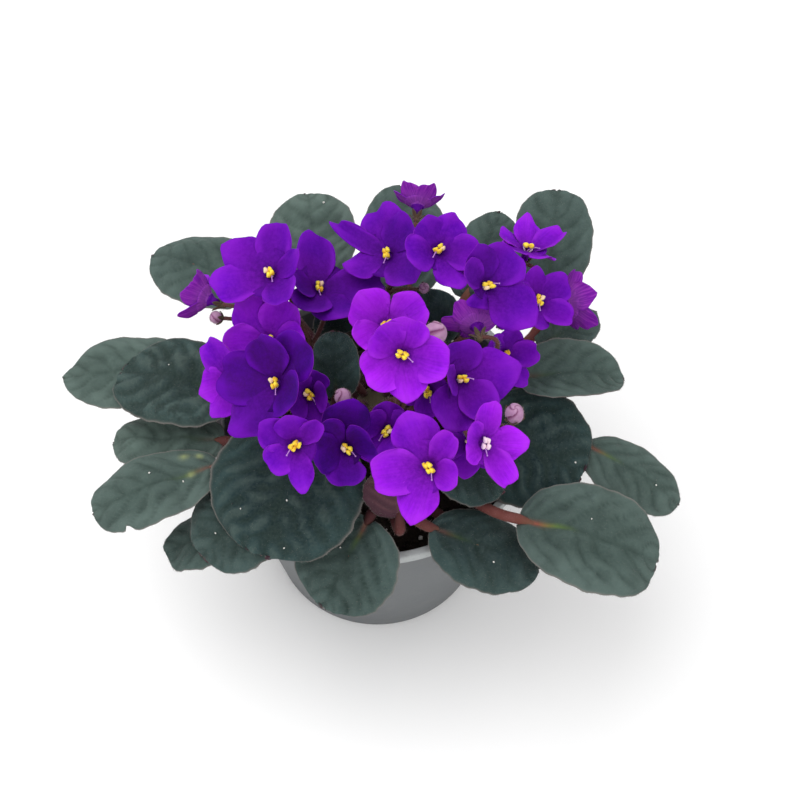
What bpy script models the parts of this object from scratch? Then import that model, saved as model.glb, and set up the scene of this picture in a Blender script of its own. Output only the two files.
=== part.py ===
"""A potted African violet: grey nursery pot, potting soil, crown, leaves, flower stalks and blooms.

Frame: +Z up, origin at the centre of the pot's underside. The side that the photograph shows
faces -Y, and +X is on its right. Tables and driving dimensions are in millimetres, and every
mesh is written in metres.
"""
import math

import bpy
import numpy as np

MM = 0.001
GAP = 0.3

# Pot, in mm
POT_HEIGHT = 98.0
POT_RIM_RADIUS = 60.0
POT_BASE_RADIUS = 43.0
POT_BASE_EDGE = 1.5
POT_WALL = 1.2
LIP_HEIGHT = 5.0
LIP_DEPTH = 1.6
LIP_EDGE = 0.8
DRAIN_HOLES = 4
DRAIN_RADIUS = 4.0
DRAIN_CIRCLE = 29.0
DRAIN_SIDES = 8
POT_SIDES = 40

# Soil and crown, in mm
SOIL_HEIGHT = 86.0
SOIL_BUMP = 1.1
SOIL_SIDES = 24
CROWN_FOOT = 72.0
CROWN_RADIUS = 7.3
CROWN_TOP = 110.0
CROWN_SIDES = 16

# Leaves, in mm. Stations run from a blade's base to its tip, and from the crown to the blade
BLADE_THICKNESS = 1.0
BASE_LOBE = 0.08
MIDRIB_DEPTH = 1.5
PETIOLE_RADIUS = 2.0
PETIOLE_TUCK = 4.0
PETIOLE_SWEEP = 0.35
BLADE_STATIONS = (0.05, 0.19, 0.35, 0.52, 0.69, 0.84, 0.96)
BLADE_ACROSS = (-1.0, -0.5, 0.0, 0.5, 1.0)
PETIOLE_STATIONS = (0.0, 0.3, 0.65, 1.0)

# Blooms, in mm. Lobes of a plain bloom: direction in degrees, and share of the radius
THROAT_RADIUS = 2.2
THROAT_DEPTH = 0.8
TUBE_LENGTH = 4.2
PETAL_THICKNESS = 0.9
PETAL_SKIN = 0.72
ANTHER_HEIGHT = 2.2
NOTCH = 0.45
LOBES = ((35, 0.88), (107, 1.0), (180, 1.04), (253, 1.0), (325, 0.88))
LOBE_WIDTH = 0.44
LOBE_SAMPLES = (-1.0, -0.62, 0.0, 0.62)
LOBE_RINGS = (0.0, 0.5, 1.0)

# Flower stalks, in mm
PEDUNCLE_RADIUS = 1.5
PEDUNCLE_CIRCLE = 4.6
PEDICEL_RADIUS = 0.9
PEDICEL_ROOT = 1.5
PEDICEL_SEAT = 1.2
CALYX_RADIUS = 3.4
CALYX_WAIST = 0.6
CALYX_DEPTH = 2.6
CALYX_POINTS = 5
STALK_SIDES = 6
PEDICEL_SIDES = 5

# Each leaf: heading and height where its petiole leaves the crown; where the blade begins and
# where its tip is (x, y, z); its width; roll in degrees (right side up); arch of the midrib;
# rise of the margins; lift of the petiole's middle
LEAVES = {
    "leaf_01": (135, 95.5, (-50, 54, 108), (-89, 72, 104), 35, 0, 3, -1.5, 0),
    "leaf_02": (108, 95.5, (-23, 59, 110), (-27, 89, 122), 35, 0, 3, -2, 0),
    "leaf_03": (82, 90, (13, 56, 105), (10, 97, 116), 34, 0, 3, -2, 0),
    "leaf_04": (54, 90, (36, 53, 105), (50, 87, 111), 25, 0, 2, -1, 0),
    "leaf_05": (36, 95.5, (66, 45, 114), (71, 85, 129), 31, 0, 3, -2, 0),
    "leaf_06": (20, 90, (65, 26, 107), (85, 43, 105), 20, 0, 2, -1, 0),
    "leaf_07": (7, 102, (56, 5, 119), (93, 8, 112), 25, 0, 3, 4, 0),
    "leaf_08": (-21, 104, (42, -10, 112), (76, -28, 102), 46.5, -13, 2.5, -4, 1),
    "leaf_09": (-11, 92.5, (80, -16, 102), (112, -35, 92), 25, 0, 3, -2.5, 4),
    "leaf_10": (-40, 96.5, (55, -50, 109), (101, -61, 98), 41, -2, 4, 0, 0),
    "leaf_11": (-72, 98, (23, -53, 108), (59, -62, 94), 29, -8, 2.5, -6, 4),
    "leaf_12": (-54, 92, (27, -46, 102), (47, -60, 98), 22, -4, 2.5, -4.5, 2),
    "leaf_13": (-97, 90, (-3, -51, 108), (-17, -73, 87), 40, 0, 3, -0.5, -2),
    "leaf_14": (-130, 104.5, (-23, -21, 123), (-39, -61, 104), 57, -3, 5, -2.5, 0),
    "leaf_15": (-159, 95.5, (-59, -28, 108), (-103, -39, 95), 28.5, 0, 3, -1.5, 0),
    "leaf_16": (-167, 90, (-59, -14, 104), (-98, -9, 95), 26, 0, 2, -1, 0),
    "leaf_17": (176, 101, (-53, -1, 116), (-96, 15, 106), 39, 0, 4, -2.5, 0),
    "leaf_18": (166, 90, (-77, 17, 104), (-120, 17, 98), 34, 0, 3, -1.5, 0),
    "leaf_19": (-140, 92, (-49, -47, 98), (-77, -49, 82), 24, 0, 2, -1, 4),
    "leaf_20": (-126, 98.5, (-39, -38, 106), (-62, -57, 95), 37, -3, 2, -2, 7),
    "leaf_21": (200, 106.5, (-14, -3, 118), (-14, 11, 138), 18, 0, 2, 2, 0),
    "leaf_22": (34, 106, (20, 16, 118), (19, 30, 138), 27, 1, 2.5, -4.5, 1),
    "leaf_23": (-59, 102, (23, -25, 115), (47, -38, 111), 27, 0, 1, -0.5, 2),
    "leaf_24": (-90, 106.5, (9, -49, 112), (8, -43, 134), 24, 3, -2, 0.5, 4),
    "leaf_25": (120, 106.5, (-15, 26, 112), (-16, 31, 130), 16, 0, 1, 1, 0),
}

# Leaves whose outline isn't the plain oval: shift of the widest place towards the tip, as a share
# of the length; how sharply the tip is drawn out; how sharply the base is
OUTLINES = {
    "leaf_01": (-0.04, 0.2, 0),
    "leaf_05": (0.05, 0, 0.5),
    "leaf_06": (0, 0.2, 0),
    "leaf_07": (-0.04, 0.45, 0),
    "leaf_09": (0, 0.1, 0.3),
    "leaf_10": (0.03, 0, 0.1),
    "leaf_11": (0, 0, 0.2),
    "leaf_15": (0.06, 0, 0.2),
    "leaf_18": (-0.08, 0.5, 0),
}

# Each bloom: its cyme; the centre of its throat (x, y, z); heading and lift of the way that it
# faces, in degrees; spin of its upper lobes, in degrees; radius; rise of the rim over the throat
BLOOMS = {
    "bloom_01": ("a", (-36, 22, 158), -150, 70, 5, 19.5, 5),
    "bloom_02": ("a", (-20, 29, 140), -10, 80, 37, 19.5, 6),
    "bloom_03": ("d", (5, 37, 149), -175, 65, 20, 18.5, 6),
    "bloom_04": ("d", (23, 30, 161), -55, 70, 5, 15.5, 4),
    "bloom_05": ("e", (39, 10, 167), -50, 60, 17, 20, 5.5),
    "bloom_06": ("e", (56, 42, 146), 60, 55, 0, 13.5, 6),
    "bloom_07": ("e", (71, 30, 130), 25, -15, 10, 12.5, 6),
    "bloom_08": ("e", (59, 21, 143), -30, 60, 0, 13, 5),
    "bloom_09": ("c", (10, -22, 173), -90, 50, -12, 17.5, 4),
    "bloom_10": ("c", (5, 6, 149), -100, 70, 0, 17.5, 4),
    "bloom_11": ("f", (30, -18, 152), -45, 50, 4, 18.5, 5),
    "bloom_12": ("f", (36, 5, 151), 100, -5, 1, 11.5, 5),
    "bloom_13": ("b", (-32, -24, 159), -135, 50, -14, 20, 8),
    "bloom_14": ("a", (-37, 5, 141), -90, 55, -8, 18, 4),
    "bloom_15": ("a", (-60, 24, 140), 155, 0, 0, 10, 7),
    "bloom_16": ("b", (-49, -14, 146), -140, 45, 0, 12.5, 5),
    "bloom_17": ("b", (-22, -19, 144), -90, 45, 7, 11, 5.5),
    "bloom_18": ("b", (-25, -47, 157), -95, 50, -10, 16.5, 3.5),
    "bloom_19": ("b", (-9, -40, 143), -70, 50, 4, 17.5, 7.5),
    "bloom_20": ("c", (5, -32, 141), -100, 50, 10, 14.5, 5.5),
    "bloom_21": ("c", (19, -53, 153), -110, 50, 8, 20, 6.5),
    "bloom_22": ("f", (37, -45, 155), -50, 50, -28, 15.5, 4),
    "bloom_23": ("c", (19, -15, 140), -105, 30, -6, 10, 3),
    "bloom_24": ("f", (47, 4, 133), -45, 50, 13, 11.5, 5),
    "bloom_25": ("c", (34, -31, 130), -105, 65, 0, 12, 5.5),
    "bloom_26": ("d", (16, 61, 148), 85, 10, 0, 9.5, 6),
}

# The five lobes of each bloom that isn't a plain one: direction in degrees, clockwise from up as
# the flower is faced; reach from the throat's centre; rise of the end over the throat; half width
PETALS = {
    "bloom_01": ((25, 14, 9, 5), (90, 18.5, 9, 7), (200, 21, 4, 8),
                 (250, 20, 4, 8.5), (310, 19, 4, 7)),
    "bloom_02": ((70, 22, 5, 7.5), (165, 23.5, 4, 8.5), (235, 19.5, 8, 8),
                 (280, 17, 9, 8), (330, 11, 9, 6)),
    "bloom_03": ((60, 21.5, 5, 7.5), (175, 16, 3, 6.5), (225, 24, 8, 4),
                 (270, 20.5, 4, 9), (315, 15, 6, 8.5)),
    "bloom_04": ((5, 12, 4, 6.5), (60, 13.5, 3.5, 6.5), (130, 14.5, 3, 7),
                 (185, 16.5, 3, 6.5), (285, 13, 4, 7)),
    "bloom_05": ((15, 13.5, 7, 6.5), (70, 16, 3, 8.5), (160, 20.5, 3, 9.5),
                 (215, 7.5, -3.5, 6), (330, 12, 9, 5)),
    "bloom_06": ((20, 13, 2, 5.5), (85, 12, 3, 5.5), (150, 13.5, 8, 5.5),
                 (215, 13, 9, 5.5), (300, 13, 3, 5.5)),
    "bloom_09": ((10, 12.5, 5, 7.5), (100, 16, 2.5, 8), (170, 15.5, 2, 7),
                 (235, 14.5, 2.5, 8), (315, 12, 5, 7.5)),
    "bloom_10": ((50, 15.5, 3, 8), (115, 16.5, 8, 7), (160, 11, 6, 7),
                 (220, 13, 8, 7), (305, 15, 3, 8.5)),
    "bloom_11": ((35, 13, 4, 8), (120, 21.5, 3, 9.5), (180, 15.5, 4, 8),
                 (240, 19, 5, 8.5), (300, 10.5, 10, 5.5)),
    "bloom_13": ((5, 19.5, 5, 9), (80, 14.5, 10, 8.5), (180, 21.5, 6, 9),
                 (240, 20, 5, 9.5), (315, 15.5, 8, 8)),
    "bloom_14": ((25, 16, 3, 8), (90, 13, 5, 7), (175, 8, 5, 7),
                 (265, 16, 5, 7), (330, 18.5, 3, 8.5)),
    "bloom_16": ((15, 10, 3, 6), (70, 10.5, 3, 6), (155, 14, 3, 6),
                 (210, 12, 3, 7), (285, 16, 3, 6)),
    "bloom_17": ((20, 9, 3, 5.5), (85, 6.5, 6, 5.5), (165, 11, 4, 6.5),
                 (240, 8, 4, 6), (315, 7, 3, 5.5)),
    "bloom_18": ((45, 12.5, 6, 3.5), (165, 15.5, 2.5, 4.5), (225, 11.5, 1.5, 5.5),
                 (295, 13.5, 2, 6), (350, 10.5, 5, 6)),
    "bloom_19": ((15, 17, 6, 8.5), (70, 8, 9, 7.5), (205, 12.5, 5, 7.5),
                 (280, 12.5, 9, 7), (325, 13.5, 8, 6)),
    "bloom_20": ((0, 10.5, 4, 6), (65, 9.5, 5, 6.5), (140, 7.5, 5, 6.5),
                 (225, 12, 3, 8), (295, 8.5, 5, 6)),
    "bloom_21": ((20, 15.5, 9, 4.5), (90, 11, 8, 5.5), (185, 19, 3, 7),
                 (245, 19.5, 3, 8), (320, 19.5, 3, 8)),
    "bloom_22": ((40, 14, 3, 5), (125, 15, 2.5, 6), (180, 16.5, 2.5, 5),
                 (275, 10.5, 6, 4), (335, 10, 6, 4.5)),
}

# Each bud: its cyme; its centre (x, y, z); heading and lift of the way that it points; radius;
# how far the middle of its pedicel is moved (x, y, z)
BUDS = (
    ("c", (21, -7, 163), 45, 40, 4.2, (0, 0, 0)),
    ("c", (-10, -24, 150), 150, 60, 3, (0, 0, 0)),
    ("b", (-20, -14, 142), 40, 10, 2.8, (3, 1, -7)),
    ("d", (10, 35, 144), -90, 60, 3, (0, 0, 0)),
    ("f", (48, -30, 149), -20, 90, 3.4, (1, -2, -9)),
    ("e", (46, 17, 134), -70, 60, 1.8, (4, 8, 2)),
    ("a", (-31, 17, 144), -90, 60, 2.2, (4, -2, -1)),
    ("a", (-57, 18, 137), 180, 10, 2.4, (0, 0, 0)),
    ("d", (18, 26, 144), -60, 60, 2, (0, 0, 0)),
)

# Pedicels that go round a neighbour: how far the middle of each is moved (x, y, z)
BENDS = {
    "bloom_01": (0, 5, 0),
    "bloom_02": (7, -1, 3),
    "bloom_05": (4, -6, 6),
    "bloom_06": (15, 5, 5),
    "bloom_07": (-5, 2, -9),
    "bloom_08": (-7, 2, 0),
    "bloom_10": (2, 1, 2),
    "bloom_11": (1, 6, -4),
    "bloom_12": (11, 5, 5),
    "bloom_13": (-4, 7, -4),
    "bloom_14": (1, 1, 1),
    "bloom_15": (-1, -1, 6),
    "bloom_16": (-1, -2, -6),
    "bloom_17": (4, 2, 0),
    "bloom_18": (1, -3, -2),
    "bloom_19": (-6, -2, -5),
    "bloom_20": (0, 3, -2),
    "bloom_22": (-2, 3, -2),
    "bloom_23": (-1, -3, 1),
    "bloom_24": (2, -3, -2),
}

# Each cyme: the heading at which its peduncle leaves the crown, and where it forks (x, y, z)
CYMES = {
    "a": (150, (-24, 14, 126)),
    "b": (210, (-18, -16, 126)),
    "c": (270, (6, -22, 124)),
    "d": (90, (4, 33, 128)),
    "e": (30, (34, 18, 126)),
    "f": (330, (27, -9, 130)),
}

# Base colours
POT_GREY = (0.17, 0.175, 0.185)
SOIL_BROWN = (0.03, 0.022, 0.018)
CROWN_GREEN = (0.10, 0.09, 0.05)
LEAF_GREEN = (0.055, 0.085, 0.07)
STALK_RED = (0.13, 0.05, 0.045)
PETAL_VIOLET = (0.16, 0.01, 0.42)


def material(name, colour, roughness):
    made = bpy.data.materials.new(name)
    made.use_nodes = True
    shader = made.node_tree.nodes["Principled BSDF"]
    shader.inputs["Base Color"].default_value = (*colour, 1.0)
    shader.inputs["Roughness"].default_value = roughness
    shader.inputs["Metallic"].default_value = 0.0
    return made


def unit(vector):
    vector = np.asarray(vector, float)
    return vector / np.linalg.norm(vector)


def add_object(name, shape, finish, collection=None):
    """Makes an object from points in mm and their faces."""
    points, faces = shape
    mesh = bpy.data.meshes.new(name)
    mesh.from_pydata((np.asarray(points, float) * MM).tolist(), [], faces)
    mesh.materials.append(finish)
    mesh.shade_smooth()
    mesh.set_sharp_from_angle(angle=math.radians(40))
    made = bpy.data.objects.new(name, mesh)
    (collection or bpy.context.scene.collection).objects.link(made)
    return made


def lathe(profile, sides, rise=None):
    """Turns (radius, height) points round Z. The first and last point lie on the axis."""
    points = [(0.0, 0.0, profile[0][1])]
    rings = profile[1:-1]
    for radius, height in rings:
        for side in range(sides):
            angle = math.tau * side / sides
            lift = rise(radius, height, angle) if rise else 0.0
            points.append((radius * math.cos(angle), radius * math.sin(angle), height + lift))
    points.append((0.0, 0.0, profile[-1][1]))
    last = len(points) - 1
    faces = []
    for side in range(sides):
        after = (side + 1) % sides
        faces.append((0, 1 + after, 1 + side))
        for ring in range(len(rings) - 1):
            near = 1 + ring * sides
            far = near + sides
            faces.append((near + side, near + after, far + after, far + side))
        near = 1 + (len(rings) - 1) * sides
        faces.append((near + side, near + after, last))
    return points, faces


def cubic(start, first, second, end, share):
    """A point of a Bezier curve."""
    rest = 1.0 - share
    return (rest ** 3 * start + 3 * rest * rest * share * first
            + 3 * rest * share * share * second + share ** 3 * end)


def cubic_slope(start, first, second, end, share):
    """The direction of a Bezier curve."""
    rest = 1.0 - share
    return unit(rest * rest * (first - start) + 2 * rest * share * (second - first)
                + share * share * (end - second))


def wall_radius(height):
    """Outer radius of the pot's wall under its lip."""
    share = height / (POT_HEIGHT - LIP_HEIGHT)
    return POT_BASE_RADIUS + share * (POT_RIM_RADIUS - LIP_DEPTH - POT_BASE_RADIUS)


def pot():
    """The tapered nursery pot, with its lip and the drain holes in its floor."""
    lip_foot = POT_HEIGHT - LIP_HEIGHT
    bore = POT_RIM_RADIUS - LIP_DEPTH - POT_WALL
    profile = [
        (0.0, 0.0),
        (POT_BASE_RADIUS - POT_BASE_EDGE, 0.0),
        (POT_BASE_RADIUS, POT_BASE_EDGE),
        (wall_radius(lip_foot), lip_foot),
        (POT_RIM_RADIUS, lip_foot + LIP_EDGE),
        (POT_RIM_RADIUS, POT_HEIGHT - LIP_EDGE),
        (POT_RIM_RADIUS - LIP_EDGE, POT_HEIGHT),
        (bore + LIP_EDGE / 2, POT_HEIGHT),
        (bore, POT_HEIGHT - LIP_EDGE),
        (bore, lip_foot),
        (POT_BASE_RADIUS - POT_WALL, POT_WALL),
        (0.0, POT_WALL),
    ]
    made = add_object("pot", lathe(profile, POT_SIDES), material("pot plastic", POT_GREY, 0.55))
    cutters = bpy.data.collections.new("drain hole cutters")
    bpy.context.scene.collection.children.link(cutters)
    low, high = -POT_WALL, 3 * POT_WALL
    bar = lathe([(0.0, low), (DRAIN_RADIUS, low), (DRAIN_RADIUS, high), (0.0, high)], DRAIN_SIDES)
    for hole in range(DRAIN_HOLES):
        angle = math.tau * (hole + 0.5) / DRAIN_HOLES
        shift = np.array([DRAIN_CIRCLE * math.cos(angle), DRAIN_CIRCLE * math.sin(angle), 0.0])
        cutter = add_object(f"drain_cutter_{hole + 1}", (np.array(bar[0]) + shift, bar[1]),
                            made.data.materials[0], cutters)
        cutter.hide_render = True
        cutter.display_type = "WIRE"
    cut = made.modifiers.new("drain holes", "BOOLEAN")
    cut.operation = "DIFFERENCE"
    cut.operand_type = "COLLECTION"
    cut.collection = cutters


def soil_rise(radius, height, angle):
    """Bumps of the soil's top."""
    if height < SOIL_HEIGHT - 1.0:
        return 0.0
    wave = math.sin(3 * angle + radius) + math.sin(7 * angle - 0.4 * radius)
    return SOIL_BUMP / 2 * wave


def soil():
    """The filling of the pot, with a plain hole for the crown."""
    hole = CROWN_RADIUS + GAP
    bore_foot = POT_BASE_RADIUS - POT_WALL - 2 * GAP
    bore_top = wall_radius(SOIL_HEIGHT) - POT_WALL - 3 * GAP
    profile = [
        (0.0, POT_WALL + GAP),
        (bore_foot, POT_WALL + GAP),
        (bore_top, SOIL_HEIGHT - 2.0),
        (bore_top - 8.0, SOIL_HEIGHT),
        (32.0, SOIL_HEIGHT),
        (18.0, SOIL_HEIGHT),
        (hole, SOIL_HEIGHT - 2.0),
        (hole, CROWN_FOOT - GAP),
        (0.0, CROWN_FOOT - GAP),
    ]
    add_object("potting_soil", lathe(profile, SOIL_SIDES, soil_rise),
               material("potting soil", SOIL_BROWN, 0.95))


def crown():
    """The short thick stem that stands in the soil and carries leaves and flower stalks."""
    profile = [
        (0.0, CROWN_FOOT),
        (CROWN_RADIUS - 2.0, CROWN_FOOT),
        (CROWN_RADIUS, CROWN_FOOT + 3.0),
        (CROWN_RADIUS, CROWN_TOP - 2.0),
        (CROWN_RADIUS - 1.5, CROWN_TOP),
        (0.0, CROWN_TOP + 0.5),
    ]
    add_object("crown", lathe(profile, CROWN_SIDES), material("crown", CROWN_GREEN, 0.8))


class Blade:
    """The curved sheet of one leaf. It is laid out by a turn from base to tip and a share
    across from the left margin, -1, to the right margin, 1."""

    def __init__(self, base, tip, width, roll, arch, rise, outline):
        self.shift, self.point_out, self.taper = outline
        self.base = np.array(base, float)
        self.tip = np.array(tip, float)
        self.width = width
        self.rise = rise
        along = unit(self.tip - self.base)
        side = unit(np.cross(along, (0, 0, 1)))
        up = np.cross(side, along)
        angle = math.radians(roll)
        self.side = side * math.cos(angle) + up * math.sin(angle)
        self.bend = (self.base + self.tip) / 2 + 2 * arch * np.cross(self.side, along)

    def spine(self, share):
        if share < 0.0:
            return self.base + 2 * share * (self.bend - self.base)
        rest = 1.0 - share
        return rest * rest * self.base + 2 * rest * share * self.bend + share * share * self.tip

    def slope(self, share):
        share = max(share, 0.0)
        return unit((1 - share) * (self.bend - self.base) + share * (self.tip - self.bend))

    def point(self, turn, across):
        """A point midway between the blade's two faces, and the blade's normal there."""
        angle = math.pi * turn ** 0.9
        middle = (1 - math.cos(angle)) / 2
        blunt = 0.75 + self.point_out * max(0, 2 * middle - 1) + self.taper * max(0, 1 - 2 * middle)
        middle += self.shift * math.sin(angle) ** 2
        margin = (1 + BASE_LOBE) * middle - BASE_LOBE
        share = middle + (margin - middle) * across * across
        half = self.width / 2 * math.sin(angle) ** blunt
        normal = np.cross(self.side, self.slope(share))
        centre = self.spine(share) + self.side * (across * half)
        return centre + normal * (self.rise * across * across * math.sin(angle)), normal


def petiole_rings(blade, heading, height, lift):
    """Rings of the petiole, from an upright cap on the crown to the foot of the blade."""
    outward = np.array([math.cos(math.radians(heading)), math.sin(math.radians(heading)), 0.0])
    raised = np.array([0.0, 0.0, lift])
    start = outward * (CROWN_RADIUS + GAP) + np.array([0.0, 0.0, height])
    slope = blade.slope(0.0)
    end = blade.base - slope * PETIOLE_TUCK
    reach = np.linalg.norm(end - start) * PETIOLE_SWEEP
    first = start + unit(outward + np.array([0.0, 0.0, 0.3])) * reach + raised
    second = end - slope * reach + raised
    start_side = np.cross(outward, (0, 0, 1))
    rings = []
    for share in PETIOLE_STATIONS:
        centre = cubic(start, first, second, end, share)
        along = cubic_slope(start, first, second, end, share) if share else outward
        side = (1 - share) * start_side + share * blade.side
        side = unit(side - np.dot(side, along) * along)
        up = np.cross(side, along)
        radius = PETIOLE_RADIUS * (0.85 + 0.25 * share)
        upper, lower = [], []
        for across in BLADE_ACROSS:
            turn = math.radians(90 - 72 * across)
            spread = side * (radius * math.cos(turn))
            upper.append(centre + spread + up * (radius * math.sin(turn)))
            lower.append(centre + spread - up * (radius * math.sin(turn)))
        rings.append((upper, lower))
    return rings


def leaf(name, row, finish):
    """One leaf: the petiole and the blade, with its midrib as a keel below."""
    heading, height, base, tip, width, roll, arch, rise, lift = row
    blade = Blade(base, tip, width, roll, arch, rise, OUTLINES.get(name, (0, 0, 0)))
    rings = petiole_rings(blade, heading, height, lift)
    for turn in BLADE_STATIONS:
        upper, lower = [], []
        for across in BLADE_ACROSS:
            middle, normal = blade.point(turn, across)
            keel = MIDRIB_DEPTH * (1 - turn) if across == 0.0 else 0.0
            upper.append(middle + normal * BLADE_THICKNESS / 2)
            lower.append(middle - normal * (BLADE_THICKNESS / 2 + keel))
        rings.append((upper, lower))
    add_object(name, loft(rings), finish)


def loft(rings):
    """Joins rings of points on an upper and a lower face, triangulated alike on both."""
    points = []
    for upper, lower in rings:
        points.extend(upper)
        points.extend(lower)
    count = len(rings[0][0])
    step = 2 * count
    faces = []
    for ring in range(len(rings) - 1):
        here = ring * step
        there = here + step
        for place in range(count - 1):
            a, b, c, d = here + place, here + place + 1, there + place + 1, there + place
            faces += [(a, b, c), (a, c, d)]
            a, b, c, d = a + count, b + count, c + count, d + count
            faces += [(a, c, b), (a, d, c)]
        right, below = here + count - 1, here + step - 1
        faces += [(right, below, below + step), (right, below + step, right + step)]
        left, under = here, here + count
        faces += [(left, under + step, under), (left, left + step, under + step)]
    for ring, flip in ((0, False), (len(rings) - 1, True)):
        here = ring * step
        for place in range(count - 1):
            a, b = here + place, here + place + 1
            c, d = b + count, a + count
            faces += [(a, d, c), (a, c, b)] if not flip else [(a, c, d), (a, b, c)]
    return points, faces


def facing(heading, lift):
    """The way that a flower faces, and the directions up and right across it."""
    turn, climb = math.radians(heading), math.radians(lift)
    out = np.array([math.cos(climb) * math.cos(turn), math.cos(climb) * math.sin(turn),
                    math.sin(climb)])
    up = np.array([-math.sin(climb) * math.cos(turn), -math.sin(climb) * math.sin(turn),
                   math.cos(climb)])
    return out, up, np.cross(up, out)


def petals_of(name, spin, radius, rise):
    """The five lobes of a bloom: direction, reach, rise and half width of each."""
    if name in PETALS:
        return PETALS[name]
    return [((angle + spin) % 360, radius * share, rise, radius * LOBE_WIDTH)
            for angle, share in LOBES]


def lobe_extent(lobe, turn):
    """How far a lobe reaches in a direction, with its outline as an oval."""
    angle, reach, rise, half = lobe
    away = math.radians((turn - angle + 180) % 360 - 180)
    centre, length = 0.55 * reach, 0.45 * reach
    square = (math.cos(away) / length) ** 2 + (math.sin(away) / half) ** 2
    cross = centre * math.cos(away) / length ** 2
    inside = cross * cross - square * ((centre / length) ** 2 - 1)
    if inside <= 0 or cross <= 0:
        return 0.0
    return (cross + math.sqrt(inside)) / square


def lobe_columns(lobes):
    """Columns of (angle, distance, height, depth) from the throat to the rim, five lobes round."""
    columns = []
    for number, lobe in enumerate(lobes):
        before, after = lobes[number - 1], lobes[(number + 1) % 5]
        back = ((lobe[0] - before[0]) % 360) / 2
        ahead = ((after[0] - lobe[0]) % 360) / 2
        for sample in LOBE_SAMPLES:
            turn = lobe[0] + sample * (back if sample < 0 else ahead)
            beside = before if sample < 0 else after
            reach, rise = lobe[1], lobe[2]
            if sample == -1.0:
                reach, rise = (lobe[1] + before[1]) / 2, (lobe[2] + before[2]) / 2
            extent = max(lobe_extent(lobe, turn), lobe_extent(beside, turn), NOTCH * reach)
            column = []
            for part in LOBE_RINGS:
                distance = THROAT_RADIUS + (extent - THROAT_RADIUS) * part
                height = rise * (distance / reach) ** 1.6 if part else -THROAT_DEPTH
                slope = 1.6 * rise * (distance / reach) ** 0.6 / reach
                depth = max(PETAL_THICKNESS, PETAL_SKIN * math.hypot(1, slope))
                column.append((turn, distance, height, depth))
            columns.append(column)
    return columns


def bloom(name, row, finish):
    """One corolla: five joined lobes, a short tube behind and a cone of anthers in front."""
    centre, heading, lift, spin, radius, rise = row[1:]
    out, up, right = facing(heading, lift)
    centre = np.array(centre, float)

    def place(angle, distance, height):
        turn = math.radians(angle)
        return centre + distance * (up * math.cos(turn) + right * math.sin(turn)) + out * height

    columns = lobe_columns(petals_of(name, spin, radius, rise))
    rings = len(LOBE_RINGS)
    sides = len(columns)
    points = []
    for face in (0, 1):
        for ring in range(rings):
            for column in columns:
                angle, distance, height, depth = column[ring]
                points.append(place(angle, distance, height - depth * face))
    anther = len(points)
    points.append(place(0, 0, ANTHER_HEIGHT))
    tube = anther + 1
    points.append(place(0, 0, -TUBE_LENGTH))
    faces = []
    back = rings * sides
    for side in range(sides):
        after = (side + 1) % sides
        faces.append((anther, after, side))
        faces.append((tube, back + side, back + after))
        for ring in range(rings - 1):
            a, b = ring * sides + side, ring * sides + after
            c, d = b + sides, a + sides
            faces += [(a, b, c), (a, c, d)]
            a, b, c, d = a + back, b + back, c + back, d + back
            faces += [(a, c, b), (a, d, c)]
        a, b = (rings - 1) * sides + side, (rings - 1) * sides + after
        faces += [(a, b, b + back), (a, b + back, a + back)]
    add_object(name, (points, faces), finish)


def tube_shape(curve, radius, steps, sides):
    """A round bar along a Bezier curve, given by its four control points."""
    points, faces = [], []
    side = None
    for step in range(steps + 1):
        share = step / steps
        along = cubic_slope(*curve, share)
        if side is None:
            side = np.cross(along, (1, 0, 0) if abs(along[0]) < 0.8 else (0, 1, 0))
        side = unit(side - np.dot(side, along) * along)
        up = np.cross(along, side)
        centre = cubic(*curve, share)
        for place in range(sides):
            angle = math.tau * place / sides
            points.append(centre + radius * (side * math.cos(angle) + up * math.sin(angle)))
    for step in range(steps):
        for place in range(sides):
            after = (place + 1) % sides
            a, b = step * sides + place, step * sides + after
            faces.append((a, b, b + sides, a + sides))
    faces.append(tuple(reversed(range(sides))))
    faces.append(tuple(range(steps * sides, (steps + 1) * sides)))
    return points, faces


def oriented(shape, origin, out):
    """Carries a shape that stands on Z to an origin, with Z along a direction."""
    side = unit(np.cross(out, (1, 0, 0) if abs(out[0]) < 0.8 else (0, 1, 0)))
    up = np.cross(out, side)
    points, faces = shape
    return [origin + x * side + y * up + z * out for x, y, z in points], faces


def calyx_shape():
    """A five-pointed cup on the end of a pedicel."""
    sides = 2 * CALYX_POINTS
    points = [(0.0, 0.0, -CALYX_DEPTH)]
    for height in (-0.7, 0.0):
        for side in range(sides):
            reach = CALYX_RADIUS * (1.0 if side % 2 else CALYX_WAIST)
            angle = math.tau * side / sides
            points.append((reach * math.cos(angle), reach * math.sin(angle), height))
    points.append((0.0, 0.0, 0.0))
    faces = []
    for side in range(sides):
        after = (side + 1) % sides
        faces.append((0, 1 + after, 1 + side))
        faces.append((1 + side, 1 + after, 1 + sides + after, 1 + sides + side))
        faces.append((1 + sides + side, 1 + sides + after, 1 + 2 * sides))
    return points, faces


def bud_shape(radius):
    """A closed bud, a little longer than wide."""
    profile = [(0.0, -radius), (radius * 0.8, -radius * 0.5), (radius, radius * 0.2),
               (radius * 0.6, radius * 0.9), (0.0, radius * 1.2)]
    return lathe(profile, STALK_SIDES)


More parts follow.
